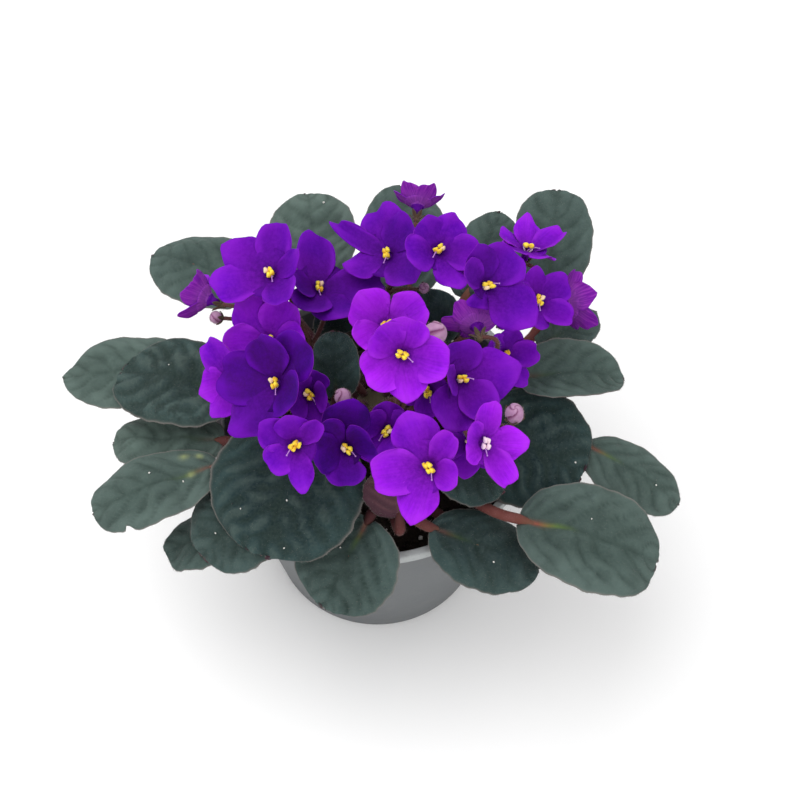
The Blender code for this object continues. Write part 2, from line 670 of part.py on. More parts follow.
def stalk_ends(cyme):
    """What a cyme's pedicels carry: place, direction, solid and bend of each pedicel."""
    ends = []
    for name, row in BLOOMS.items():
        if row[0] == cyme:
            along = facing(row[2], row[3])[0]
            seat = np.array(row[1], float) - along * (TUBE_LENGTH + GAP)
            ends.append((seat, along, calyx_shape(), np.array(BENDS.get(name, (0, 0, 0)), float)))
    for bud_cyme, centre, heading, lift, radius, bend in BUDS:
        if bud_cyme == cyme:
            ends.append((np.array(centre, float), facing(heading, lift)[0], bud_shape(radius),
                         np.array(bend, float)))
    return ends


def flower_stalk(name, cyme, finish):
    """One cyme: a peduncle that forks into pedicels, with calyxes and closed buds, as one body."""
    heading, fork = CYMES[cyme]
    fork = np.array(fork, float)
    out = np.array([math.cos(math.radians(heading)), math.sin(math.radians(heading)), 0.0])
    start = out * PEDUNCLE_CIRCLE + np.array([0.0, 0.0, CROWN_TOP + 0.5 + GAP])
    reach = np.linalg.norm(fork - start)
    climb = unit(out * 0.4 + np.array([0.0, 0.0, 1.0]))
    rising = unit(fork - start + np.array([0.0, 0.0, reach * 0.5]))
    curve = (start, start + climb * reach * 0.3, fork - rising * reach * 0.3, fork)
    stem = add_object(name, tube_shape(curve, PEDUNCLE_RADIUS, 4, STALK_SIDES), finish)
    pieces = bpy.data.collections.new(f"{name} pieces")
    bpy.context.scene.collection.children.link(pieces)
    root = fork - rising * PEDICEL_ROOT
    for count, (end, along, shape, bend) in enumerate(stalk_ends(cyme)):
        reach = np.linalg.norm(end - fork)
        seat = end - along * PEDICEL_SEAT
        curve = (root, root + rising * reach * 0.35 + bend, seat - along * reach * 0.3 + bend, seat)
        add_object(f"{name}_pedicel_{count}",
                   tube_shape(curve, PEDICEL_RADIUS, 4, PEDICEL_SIDES), finish, pieces)
        add_object(f"{name}_end_{count}", oriented(shape, end, along), finish, pieces)
    join_pieces(stem, pieces)


def join_pieces(stem, pieces):
    """Unites a stem with a collection of solids, and removes the collection."""
    join = stem.modifiers.new("join", "BOOLEAN")
    join.operation = "UNION"
    join.solver = "MANIFOLD"
    join.operand_type = "COLLECTION"
    join.collection = pieces
    bpy.context.view_layer.update()
    seen = stem.evaluated_get(bpy.context.evaluated_depsgraph_get())
    joined = bpy.data.meshes.new_from_object(seen)
    stem.modifiers.clear()
    stem.data = joined
    for piece in list(pieces.objects):
        bpy.data.objects.remove(piece)
    bpy.data.collections.remove(pieces)


def main():
    for old in list(bpy.data.objects):
        bpy.data.objects.remove(old)
    pot()
    soil()
    crown()
    green = material("leaf", LEAF_GREEN, 0.75)
    for name, row in LEAVES.items():
        leaf(name, row, green)
    red = material("flower stalk", STALK_RED, 0.7)
    for count, cyme in enumerate(CYMES):
        flower_stalk(f"flower_stalk_{count + 1}", cyme, red)
    violet = material("petal", PETAL_VIOLET, 0.6)
    for number, (name, row) in enumerate(BLOOMS.items()):
        bloom(name, row, violet)


main()
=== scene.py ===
"""The looks of the potted African violet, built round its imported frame.

Every fine piece stands where its CAD node stands. Lengths are in millimetres until a mesh is
made. Leaves, blooms, buds and stalks repeat the tables of the part's source.
"""
import math

import bpy
import numpy as np
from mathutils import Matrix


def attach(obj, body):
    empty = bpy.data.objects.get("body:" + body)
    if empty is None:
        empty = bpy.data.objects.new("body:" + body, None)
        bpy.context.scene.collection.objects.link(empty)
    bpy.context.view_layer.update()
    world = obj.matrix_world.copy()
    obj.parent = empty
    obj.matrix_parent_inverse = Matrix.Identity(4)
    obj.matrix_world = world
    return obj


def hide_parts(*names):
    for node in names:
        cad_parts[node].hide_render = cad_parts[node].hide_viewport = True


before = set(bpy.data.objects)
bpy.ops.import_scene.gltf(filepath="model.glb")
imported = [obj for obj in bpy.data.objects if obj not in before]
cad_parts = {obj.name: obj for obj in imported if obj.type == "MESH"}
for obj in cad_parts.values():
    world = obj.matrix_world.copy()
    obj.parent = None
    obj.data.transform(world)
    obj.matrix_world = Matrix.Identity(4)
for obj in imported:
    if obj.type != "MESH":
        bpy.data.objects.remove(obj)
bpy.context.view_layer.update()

MM = 0.001
GAP = 0.3

# Seeds of the random draws. Those of leaves and stalks have their number added.
BLADE_HAIR_SEED = 500
PETIOLE_HAIR_SEED = 700
STALK_SEED = 900
SOIL_SEED = 77
LEAF_CRUMB_SEED = 5

# Pot, soil and crown, in mm
POT_HEIGHT = 98.0
POT_RIM_RADIUS = 60.0
POT_BASE_RADIUS = 43.0
POT_BASE_EDGE = 1.5
POT_WALL = 1.2
LIP_HEIGHT = 5.0
LIP_DEPTH = 1.6
LIP_FOOT = POT_HEIGHT - LIP_HEIGHT
DRAIN_HOLES = 4
DRAIN_RADIUS = 4.0
DRAIN_CIRCLE = 29.0
SOIL_HEIGHT = 86.0
CROWN_FOOT = 72.0
CROWN_RADIUS = 7.3
CROWN_TOP = 110.0
SOIL_RINGS = 60
SOIL_SIDES = 160
SOIL_CRUMBS = 620
PERLITE_CRUMBS = 90

# Leaves, in mm
BASE_LOBE = 0.08
PETIOLE_RADIUS = 2.0
PETIOLE_TUCK = 4.0
PETIOLE_SWEEP = 0.35
PETIOLE_STEPS = 16
PETIOLE_SIDES = 12
LEAF_ROWS = 52
LEAF_COLUMNS = 37
KEEL_ROWS = range(5, 41, 4)
VEIN_COUNT = 5
BLADE_HAIRS = 900
FRINGE_HAIRS = 700

# Blooms and stalks, in mm
THROAT_RADIUS = 2.2
TUBE_LENGTH = 4.2
LOBES = ((35, 0.88), (107, 1.0), (180, 1.04), (253, 1.0), (325, 0.88))
LOBE_WIDTH = 0.44
PETAL_ROWS = 22
PETAL_COLUMNS = 17
PEDUNCLE_RADIUS = 1.5
PEDUNCLE_CIRCLE = 4.6
PEDUNCLE_STEPS = 14
PEDICEL_RADIUS = 0.9
PEDICEL_ROOT = 1.5
PEDICEL_SEAT = 1.2
PEDICEL_STEPS = 22
STYLE_STEPS = 9
BUD_GRID = (22, 42)
CALYX_RADIUS = 3.4
SEPALS = 5
STEM_HAIRS = 420
PEDICEL_HAIRS = 340
CALYX_HAIRS = 150

# Each leaf: heading and height of its petiole's start; base and tip of the blade (x, y, z);
# width; roll in degrees; arch of the midrib; rise of the margins; lift of the petiole's middle
LEAVES = {
    1: (135, 95.5, (-50, 54, 108), (-89, 72, 104), 35, 0, 3, -1.5, 0),
    2: (108, 95.5, (-23, 59, 110), (-27, 89, 122), 35, 0, 3, -2, 0),
    3: (82, 90, (13, 56, 105), (10, 97, 116), 34, 0, 3, -2, 0),
    4: (54, 90, (36, 53, 105), (50, 87, 111), 25, 0, 2, -1, 0),
    5: (36, 95.5, (66, 45, 114), (71, 85, 129), 31, 0, 3, -2, 0),
    6: (20, 90, (65, 26, 107), (85, 43, 105), 20, 0, 2, -1, 0),
    7: (7, 102, (56, 5, 119), (93, 8, 112), 25, 0, 3, 4, 0),
    8: (-21, 104, (42, -10, 112), (76, -28, 102), 46.5, -13, 2.5, -4, 1),
    9: (-11, 92.5, (80, -16, 102), (112, -35, 92), 25, 0, 3, -2.5, 4),
    10: (-40, 96.5, (55, -50, 109), (101, -61, 98), 41, -2, 4, 0, 0),
    11: (-72, 98, (23, -53, 108), (59, -62, 94), 29, -8, 2.5, -6, 4),
    12: (-54, 92, (27, -46, 102), (47, -60, 98), 22, -4, 2.5, -4.5, 2),
    13: (-97, 90, (-3, -51, 108), (-17, -73, 87), 40, 0, 3, -0.5, -2),
    14: (-130, 104.5, (-23, -21, 123), (-39, -61, 104), 57, -3, 5, -2.5, 0),
    15: (-159, 95.5, (-59, -28, 108), (-103, -39, 95), 28.5, 0, 3, -1.5, 0),
    16: (-167, 90, (-59, -14, 104), (-98, -9, 95), 26, 0, 2, -1, 0),
    17: (176, 101, (-53, -1, 116), (-96, 15, 106), 39, 0, 4, -2.5, 0),
    18: (166, 90, (-77, 17, 104), (-120, 17, 98), 34, 0, 3, -1.5, 0),
    19: (-140, 92, (-49, -47, 98), (-77, -49, 82), 24, 0, 2, -1, 4),
    20: (-126, 98.5, (-39, -38, 106), (-62, -57, 95), 37, -3, 2, -2, 7),
    21: (200, 106.5, (-14, -3, 118), (-14, 11, 138), 18, 0, 2, 2, 0),
    22: (34, 106, (20, 16, 118), (19, 30, 138), 27, 1, 2.5, -4.5, 1),
    23: (-59, 102, (23, -25, 115), (47, -38, 111), 27, 0, 1, -0.5, 2),
    24: (-90, 106.5, (9, -49, 112), (8, -43, 134), 24, 3, -2, 0.5, 4),
    25: (120, 106.5, (-15, 26, 112), (-16, 31, 130), 16, 0, 1, 1, 0),
}

# Leaves whose outline isn't the plain oval: shift of the widest place towards the tip, as a share
# of the length; how sharply the tip is drawn out; how sharply the base is
OUTLINES = {
    1: (-0.04, 0.2, 0), 5: (0.05, 0, 0.5), 6: (0, 0.2, 0), 7: (-0.04, 0.45, 0), 9: (0, 0.1, 0.3),
    10: (0.03, 0, 0.1), 11: (0, 0, 0.2), 15: (0.06, 0, 0.2), 18: (-0.08, 0.5, 0),
}

# Tone of each leaf's green, from 0, dark, to 1, pale. It is partly the leaf's own green and partly
# painted light: the inner leaves that lie in shade are dark, the outer, lit ones pale
LEAF_TONES_AND_SHADE = {
    1: 0.55, 2: 0.85, 3: 0.52, 4: 0.48, 5: 0.47, 6: 0.50, 7: 0.56, 8: 0.02, 9: 0.60, 10: 0.56,
    11: 0.14, 12: 0.14, 13: 0.36, 14: 0.02, 15: 0.62, 16: 0.82, 17: 0.20, 18: 0.73, 19: 0.40,
    20: 0.26, 21: 0.12, 22: 0.08, 23: 0.10, 24: 0.06, 25: 0.08,
}

# How bright the foot of the midrib shows on some leaves, from 0 to 1
RIB_TONES = {7: 0.15, 9: 0.55, 10: 1.0, 11: 0.25, 13: 0.45, 15: 0.35}

# How strongly dark blotches show on a leaf
BLOTCHES = {17: 0.75}
PLAIN_BLOTCH = 0.22
PLAIN_RIB = 0.12
PLAIN_PUCKER = (1.0, 0.5)

# Leaves that are twisted round, so that the maroon underside shows on top
TWISTED = (24,)

# Small nicks in a margin: leaf, turn from base to tip, side, depth as a share of the half width
NICKS = {15: (0.60, -1, 0.17), 11: (0.72, 1, 0.05)}

# Pale yellowish spots: turn, share across
SPOTS = {15: ((0.16, 0.75), (0.20, -0.05), (0.24, 0.70))}

# How strongly a leaf is puckered, and how strongly painted shade in its hollows and painted
# highlight on its tops show
PUCKER = {
    8: (1.6, 1.2), 13: (1.2, 0.7), 14: (2.0, 1.3), 17: (1.6, 1.6), 20: (1.0, 0.8), 23: (1.2, 0.9),
}

# Crumbs of perlite on leaves: leaf, turn from base to tip, share across
LEAF_CRUMBS = (
    (14, 0.50, -0.10), (14, 0.78, -0.35), (14, 0.62, 0.45), (8, 0.75, -0.15), (13, 0.35, 0.2),
    (15, 0.4, 0.3), (15, 0.25, -0.2), (20, 0.6, 0.1), (1, 0.45, -0.5), (17, 0.5, 0.2),
    (10, 0.4, -0.3), (11, 0.5, 0.3), (2, 0.7, 0.4), (9, 0.6, 0.0),
)

# Tone of each bloom's violet, from 0, dark and bluish, to 1, bright magenta. It is partly the
# bloom's own colour and partly painted shade, dark on the blooms that lie in shade
BLOOM_TONES_AND_SHADE = {
    1: 0.37, 2: 0.22, 3: 0.28, 4: 0.42, 5: 0.26, 6: 0.60, 7: 0.45, 8: 0.34, 9: 0.76, 10: 0.90,
    11: 0.34, 12: 0.60, 13: 0.06, 14: 0.74, 15: 0.62, 16: 0.58, 17: 0.22, 18: 0.40, 19: 0.06,
    20: 0.38, 21: 0.70, 22: 0.84, 23: 0.30, 24: 0.40, 25: 0.30, 26: 0.50,
}

# The bloom whose anthers are all pale
PALE_BLOOM = 22

# Each bloom: its cyme; the centre of its throat (x, y, z); heading and lift of the way that it
# faces, in degrees; spin of its upper lobes; radius; rise of the rim
BLOOMS = {
    1: ("a", (-36, 22, 158), -150, 70, 5, 19.5, 5),
    2: ("a", (-20, 29, 140), -10, 80, 37, 19.5, 6),
    3: ("d", (5, 37, 149), -175, 65, 20, 18.5, 6),
    4: ("d", (23, 30, 161), -55, 70, 5, 15.5, 4),
    5: ("e", (39, 10, 167), -50, 60, 17, 20, 5.5),
    6: ("e", (56, 42, 146), 60, 55, 0, 13.5, 6),
    7: ("e", (71, 30, 130), 25, -15, 10, 12.5, 6),
    8: ("e", (59, 21, 143), -30, 60, 0, 13, 5),
    9: ("c", (10, -22, 173), -90, 50, -12, 17.5, 4),
    10: ("c", (5, 6, 149), -100, 70, 0, 17.5, 4),
    11: ("f", (30, -18, 152), -45, 50, 4, 18.5, 5),
    12: ("f", (36, 5, 151), 100, -5, 1, 11.5, 5),
    13: ("b", (-32, -24, 159), -135, 50, -14, 20, 8),
    14: ("a", (-37, 5, 141), -90, 55, -8, 18, 4),
    15: ("a", (-60, 24, 140), 155, 0, 0, 10, 7),
    16: ("b", (-49, -14, 146), -140, 45, 0, 12.5, 5),
    17: ("b", (-22, -19, 144), -90, 45, 7, 11, 5.5),
    18: ("b", (-25, -47, 157), -95, 50, -10, 16.5, 3.5),
    19: ("b", (-9, -40, 143), -70, 50, 4, 17.5, 7.5),
    20: ("c", (5, -32, 141), -100, 50, 10, 14.5, 5.5),
    21: ("c", (19, -53, 153), -110, 50, 8, 20, 6.5),
    22: ("f", (37, -45, 155), -50, 50, -28, 15.5, 4),
    23: ("c", (19, -15, 140), -105, 30, -6, 10, 3),
    24: ("f", (47, 4, 133), -45, 50, 13, 11.5, 5),
    25: ("c", (34, -31, 130), -105, 65, 0, 12, 5.5),
    26: ("d", (16, 61, 148), 85, 10, 0, 9.5, 6),
}

# The five lobes of each bloom that isn't a plain one: direction in degrees, clockwise from up as
# the flower is faced; reach from the throat's centre; rise of the end over the throat; half width
PETALS = {
    1: ((25, 14, 9, 5), (90, 18.5, 9, 7), (200, 21, 4, 8), (250, 20, 4, 8.5), (310, 19, 4, 7)),
    2: ((70, 22, 5, 7.5), (165, 23.5, 4, 8.5), (235, 19.5, 8, 8), (280, 17, 9, 8), (330, 11, 9, 6)),
    3: ((60, 21.5, 5, 7.5), (175, 16, 3, 6.5), (225, 24, 8, 4), (270, 20.5, 4, 9),
        (315, 15, 6, 8.5)),
    4: ((5, 12, 4, 6.5), (60, 13.5, 3.5, 6.5), (130, 14.5, 3, 7), (185, 16.5, 3, 6.5),
        (285, 13, 4, 7)),
    5: ((15, 13.5, 7, 6.5), (70, 16, 3, 8.5), (160, 20.5, 3, 9.5), (215, 7.5, -3.5, 6),
        (330, 12, 9, 5)),
    6: ((20, 13, 2, 5.5), (85, 12, 3, 5.5), (150, 13.5, 8, 5.5), (215, 13, 9, 5.5),
        (300, 13, 3, 5.5)),
    9: ((10, 12.5, 5, 7.5), (100, 16, 2.5, 8), (170, 15.5, 2, 7), (235, 14.5, 2.5, 8),
        (315, 12, 5, 7.5)),
    10: ((50, 15.5, 3, 8), (115, 16.5, 8, 7), (160, 11, 6, 7), (220, 13, 8, 7), (305, 15, 3, 8.5)),
    11: ((35, 13, 4, 8), (120, 21.5, 3, 9.5), (180, 15.5, 4, 8), (240, 19, 5, 8.5),
         (300, 10.5, 10, 5.5)),
    13: ((5, 19.5, 5, 9), (80, 14.5, 10, 8.5), (180, 21.5, 6, 9), (240, 20, 5, 9.5),
         (315, 15.5, 8, 8)),
    14: ((25, 16, 3, 8), (90, 13, 5, 7), (175, 8, 5, 7), (265, 16, 5, 7), (330, 18.5, 3, 8.5)),
    16: ((15, 10, 3, 6), (70, 10.5, 3, 6), (155, 14, 3, 6), (210, 12, 3, 7), (285, 16, 3, 6)),
    17: ((20, 9, 3, 5.5), (85, 6.5, 6, 5.5), (165, 11, 4, 6.5), (240, 8, 4, 6), (315, 7, 3, 5.5)),
    18: ((45, 12.5, 6, 3.5), (165, 15.5, 2.5, 4.5), (225, 11.5, 1.5, 5.5), (295, 13.5, 2, 6),
         (350, 10.5, 5, 6)),
    19: ((15, 17, 6, 8.5), (70, 8, 9, 7.5), (205, 12.5, 5, 7.5), (280, 12.5, 9, 7),
         (325, 13.5, 8, 6)),
    20: ((0, 10.5, 4, 6), (65, 9.5, 5, 6.5), (140, 7.5, 5, 6.5), (225, 12, 3, 8), (295, 8.5, 5, 6)),
    21: ((20, 15.5, 9, 4.5), (90, 11, 8, 5.5), (185, 19, 3, 7), (245, 19.5, 3, 8),
         (320, 19.5, 3, 8)),
    22: ((40, 14, 3, 5), (125, 15, 2.5, 6), (180, 16.5, 2.5, 5), (275, 10.5, 6, 4),
         (335, 10, 6, 4.5)),
}

# Each bud: its cyme; its centre (x, y, z); heading and lift of its tip, in degrees; radius; how
# far the middle of its pedicel is moved (x, y, z)
BUDS = (
    ("c", (21, -7, 163), 45, 40, 4.2, (0, 0, 0)),
    ("c", (-10, -24, 150), 150, 60, 3, (0, 0, 0)),
    ("b", (-20, -14, 142), 40, 10, 2.8, (3, 1, -7)),
    ("d", (10, 35, 144), -90, 60, 3, (0, 0, 0)),
    ("f", (48, -30, 149), -20, 90, 3.4, (1, -2, -9)),
    ("e", (46, 17, 134), -70, 60, 1.8, (4, 8, 2)),
    ("a", (-31, 17, 144), -90, 60, 2.2, (4, -2, -1)),
    ("a", (-57, 18, 137), 180, 10, 2.4, (0, 0, 0)),
    ("d", (18, 26, 144), -60, 60, 2, (0, 0, 0)),
)

# Pedicels that go round a neighbour: how far the middle of each is moved (x, y, z)
BENDS = {
    1: (0, 5, 0), 2: (7, -1, 3), 5: (4, -6, 6), 6: (15, 5, 5), 7: (-5, 2, -9), 8: (-7, 2, 0),
    10: (2, 1, 2), 11: (1, 6, -4), 12: (11, 5, 5), 13: (-4, 7, -4), 14: (1, 1, 1), 15: (-1, -1, 6),
    16: (-1, -2, -6), 17: (4, 2, 0), 18: (1, -3, -2), 19: (-6, -2, -5), 20: (0, 3, -2),
    22: (-2, 3, -2), 23: (-1, -3, 1), 24: (2, -3, -2),
}

# Each cyme: the heading at which its peduncle leaves the crown, and where it forks (x, y, z)
CYMES = {
    "a": (150, (-24, 14, 126)),
    "b": (210, (-18, -16, 126)),
    "c": (270, (6, -22, 124)),
    "d": (90, (4, 33, 128)),
    "e": (30, (34, 18, 126)),
    "f": (330, (27, -9, 130)),
}


# Shapes

UP = np.array([0.0, 0.0, 1.0])


def unit(vectors):
    vectors = np.asarray(vectors, float)
    return vectors / np.maximum(np.linalg.norm(vectors, axis=-1, keepdims=True), 1e-9)


def heading_vector(degrees):
    angle = math.radians(degrees)
    return np.array([math.cos(angle), math.sin(angle), 0.0])


def beside(along):
    """Two directions across a given one."""
    side = unit(np.cross(along, (1, 0, 0) if abs(along[0]) < 0.8 else (0, 1, 0)))
    return side, np.cross(along, side)


def turned(first, second, angle):
    """Two directions at right angles, turned from the first towards the second."""
    cos, sin = math.cos(angle), math.sin(angle)
    return first * cos + second * sin, second * cos - first * sin


def lay(origin, *steps):
    """Points that lie at the given (distances, direction) from an origin."""
    return origin + sum(distance[..., None] * way for distance, way in steps)


def round_turns(sides):
    return np.linspace(0, math.tau, sides, endpoint=False)


def circle(radius, height, turns):
    """Points round Z."""
    return np.stack(np.broadcast_arrays(radius * np.cos(turns), radius * np.sin(turns), height), -1)


def smooth(low, high, values):
    share = np.clip((np.asarray(values, float) - low) / (high - low), 0.0, 1.0)
    return share * share * (3 - 2 * share)


def ripple(points, size, seed, count=7):
    """Smooth noise from about -1 to 1: a seeded sum of waves of about one size."""
    draw = np.random.default_rng(seed)
    total = np.zeros(points.shape[:-1])
    for _ in range(count):
        way = unit(draw.normal(size=3)) * math.tau / size * draw.uniform(0.7, 1.4)
        total += np.sin(points @ way + draw.uniform(0, math.tau))
    return total / math.sqrt(count)


def link(made):
    bpy.context.scene.collection.objects.link(made)
    return made


class Cluster:
    """Collects shapes, each with its marks, into one mesh."""

    def __init__(self):
        self.points = []
        self.faces = []
        self.marks = []
        self.count = 0

    def add(self, shape, **marks):
        points, faces = shape
        points = np.asarray(points, float).reshape(-1, 3)
        for part in faces:
            self.faces.append(np.asarray(part) + self.count)
        self.points.append(points)
        self.marks.append((len(points), marks))
        self.count += len(points)

    def piece(self, name, finish, slot, *replaced):
        mesh = bpy.data.meshes.new(name)
        faces = [face for part in self.faces for face in part.tolist()]
        mesh.from_pydata((np.concatenate(self.points) * MM).tolist(), [], faces)
        names = sorted({key for _, marks in self.marks for key in marks})
        for key in names:
            values = [np.broadcast_to(np.asarray(marks.get(key, 0.0), float).reshape(-1), (count,))
                      for count, marks in self.marks]
            layer = mesh.attributes.new(key, "FLOAT", "POINT")
            layer.data.foreach_set("value", np.concatenate(values).astype(np.float32))
        mesh.materials.append(finish)
        mesh.shade_smooth()
        made = link(bpy.data.objects.new(name, mesh))
        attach(made, "root")
        if replaced:
            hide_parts(*replaced)
        return made


def shell(top, bottom):
    """A closed sheet between two grids of points."""
    rows, columns = top.shape[:2]
    count = rows * columns
    index = np.arange(count).reshape(rows, columns)
    upper = np.stack([index[:-1, :-1], index[:-1, 1:], index[1:, 1:], index[1:, :-1]], -1)
    upper = upper.reshape(-1, 4)
    loop = np.concatenate([index[0], index[1:, -1], index[-1, -2::-1], index[-2:0:-1, 0]])
    after = np.roll(loop, -1)
    rim = np.stack([after, loop, loop + count, after + count], -1)
    points = np.concatenate([top.reshape(-1, 3), bottom.reshape(-1, 3)])
    return points, [upper, upper[:, ::-1] + count, rim]


def both_sides(**marks):
    """The marks of a shell's two faces, and which face is the lower one."""
    made = {key: np.concatenate([grid.ravel(), grid.ravel()]) for key, grid in marks.items()}
    count = len(next(iter(made.values()))) // 2
    made["under"] = np.concatenate([np.zeros(count), np.ones(count)])
    return made


def capped(rings, first, last, downward=False):
    """A closed skin over rings of points, which are drawn together in a point at each end."""
    rings = np.asarray(rings, float)
    sides = rings.shape[1]
    index = np.arange(len(rings) * sides).reshape(-1, sides)
    after = np.roll(index, -1, axis=1)
    faces = [
        np.stack([index[:-1], after[:-1], after[1:], index[1:]], -1).reshape(-1, 4),
        np.stack([after[0], index[0], np.full(sides, index.size)], -1),
        np.stack([index[-1], after[-1], np.full(sides, index.size + 1)], -1),
    ]
    if downward:
        faces = [part[:, ::-1] for part in faces]
    return np.concatenate([rings.reshape(-1, 3), [first], [last]]), faces


def tube(path, radii, sides):
    """A closed round bar along a path, with a radius for each point."""
    path = np.asarray(path, float)
    along = unit(np.gradient(path, axis=0))
    side = beside(along[0])[0]
    turns = round_turns(sides)
    rings = []
    for point, way, radius in zip(path, along, radii):
        side = unit(side - np.dot(side, way) * way)
        ring = np.outer(np.cos(turns), side) + np.outer(np.sin(turns), np.cross(way, side))
        rings.append(point + ring * radius)
    return capped(rings, path[0], path[-1])


def lathe(profile, sides):
    """Turns (radius, height) points round Z. The first and last point lie on the axis."""
    turns = round_turns(sides)
    rings = [circle(radius, height, turns) for radius, height in profile[1:-1]]
    return capped(rings, (0, 0, profile[0][1]), (0, 0, profile[-1][1]))


def ball_angles(rings, sides):
    """The angles down from the pole and round the axis of a ball's points."""
    return np.meshgrid(np.linspace(0, math.pi, rings + 1)[1:-1], round_turns(sides), indexing="ij")


def ball(centre, axes, rings, sides, shape=None):
    """An ellipsoid with three given axes. The shape changes its radius by two angles."""
    down, round_ = ball_angles(rings, sides)
    skin = circle(np.sin(down), np.cos(down), round_)
    if shape is not None:
        skin = skin * shape(down, round_)[..., None]
    points, faces = capped(skin, (0, 0, 1), (0, 0, -1), downward=True)
    return np.asarray(centre) + points @ np.asarray(axes, float), faces


def spikes(roots, ways, lengths, width):
    """Hairs: slim three-sided spikes."""
    ways = unit(ways)
    helper = np.where(np.abs(ways[:, 2:]) < 0.9, [[0.0, 0.0, 1.0]], [[1.0, 0.0, 0.0]])
    side = unit(np.cross(ways, helper))
    corners = [roots + width / 2 * turned(side, np.cross(ways, side), turn)[0]
               for turn in round_turns(3)]
    points = np.stack([*corners, roots + ways * lengths[:, None]], 1).reshape(-1, 3)
    first = np.arange(len(roots))[:, None] * 4
    pattern = np.array([(0, 1, 3), (1, 2, 3), (2, 0, 3), (0, 2, 1)])
    return points, [(first[:, None] + pattern[None]).reshape(-1, 3)]


def cubic(curve, count):
    """Evenly spread points of a Bezier curve."""
    start, first, second, end = curve
    share = np.linspace(0, 1, count)[:, None]
    rest = 1 - share
    return (rest ** 3 * start + 3 * rest * rest * share * first
            + 3 * rest * share * share * second + share ** 3 * end)


def grid_normals(grid):
    return unit(np.cross(np.gradient(grid, axis=1), np.gradient(grid, axis=0)))


# Materials

class Finish:
    """A material and short ways to wire its nodes."""

    def __init__(self, name, roughness, **sockets):
        self.material = bpy.data.materials.new(name)
        self.material.use_nodes = True
        self.tree = self.material.node_tree
        self.shader = self.tree.nodes["Principled BSDF"]
        self.shader.inputs["Roughness"].default_value = roughness
        for socket, value in sockets.items():
            self.shader.inputs[socket.replace("_", " ")].default_value = value
        self.place = self.tree.nodes.new("ShaderNodeTexCoord").outputs["Object"]

    def node(self, kind, **inputs):
        made = self.tree.nodes.new(kind)
        for key, value in inputs.items():
            self.feed(made.inputs[key.replace("_", " ")], value)
        return made

    def feed(self, socket, value):
        if isinstance(value, bpy.types.NodeSocket):
            self.tree.links.new(value, socket)
        elif isinstance(value, tuple) and len(value) == 3 and socket.type == "RGBA":
            socket.default_value = (*value, 1.0)
        else:
            socket.default_value = value

    def sum(self, kind, first, second=0.5, clamp=False):
        made = self.tree.nodes.new("ShaderNodeMath")
        made.operation = kind
        made.use_clamp = clamp
        self.feed(made.inputs[0], first)
        self.feed(made.inputs[1], second)
        return made.outputs[0]

    def times(self, first, second):
        return self.sum("MULTIPLY", first, second)

    def mark(self, name, factor=1.0):
        """A mark of the mesh, times a factor."""
        made = self.tree.nodes.new("ShaderNodeAttribute")
        made.attribute_name = name
        return self.times(made.outputs["Fac"], factor)

    def range(self, value, low, high, new_low=0.0, new_high=1.0):
        made = self.node("ShaderNodeMapRange", Value=value, From_Min=low, From_Max=high,
                         To_Min=new_low, To_Max=new_high)
        return made.outputs["Result"]

    def noise(self, scale, detail=3.0, rough=0.55, vector=None):
        made = self.node("ShaderNodeTexNoise", Vector=self.place if vector is None else vector,
                         Scale=scale, Detail=detail, Roughness=rough)
        return made.outputs["Fac"]

    def patches(self, scale, detail, low, high, most=1.0, rough=0.55, vector=None):
        """Noise that is spread from 0 at its low value to the most at its high one."""
        return self.range(self.noise(scale, detail, rough, vector), low, high, 0.0, most)

    def mix(self, share, first, second):
        made = self.tree.nodes.new("ShaderNodeMix")
        made.data_type = "RGBA"
        self.feed(made.inputs[0], share)
        self.feed(made.inputs[6], first)
        self.feed(made.inputs[7], second)
        return made.outputs[2]

    def layers(self, colour, *layers):
        """A colour under layers, each a share and a colour."""
        for share, layer in layers:
            colour = self.mix(share, colour, layer)
        return colour

    def done(self, colour, height=None, strength=0.0, distance=0.0):
        """The material, with its colour and the height of its bumps."""
        self.feed(self.shader.inputs["Base Color"], colour)
        if height is not None:
            bump = self.node("ShaderNodeBump", Height=height, Strength=strength, Distance=distance)
            self.tree.links.new(bump.outputs["Normal"], self.shader.inputs["Normal"])
        return self.material


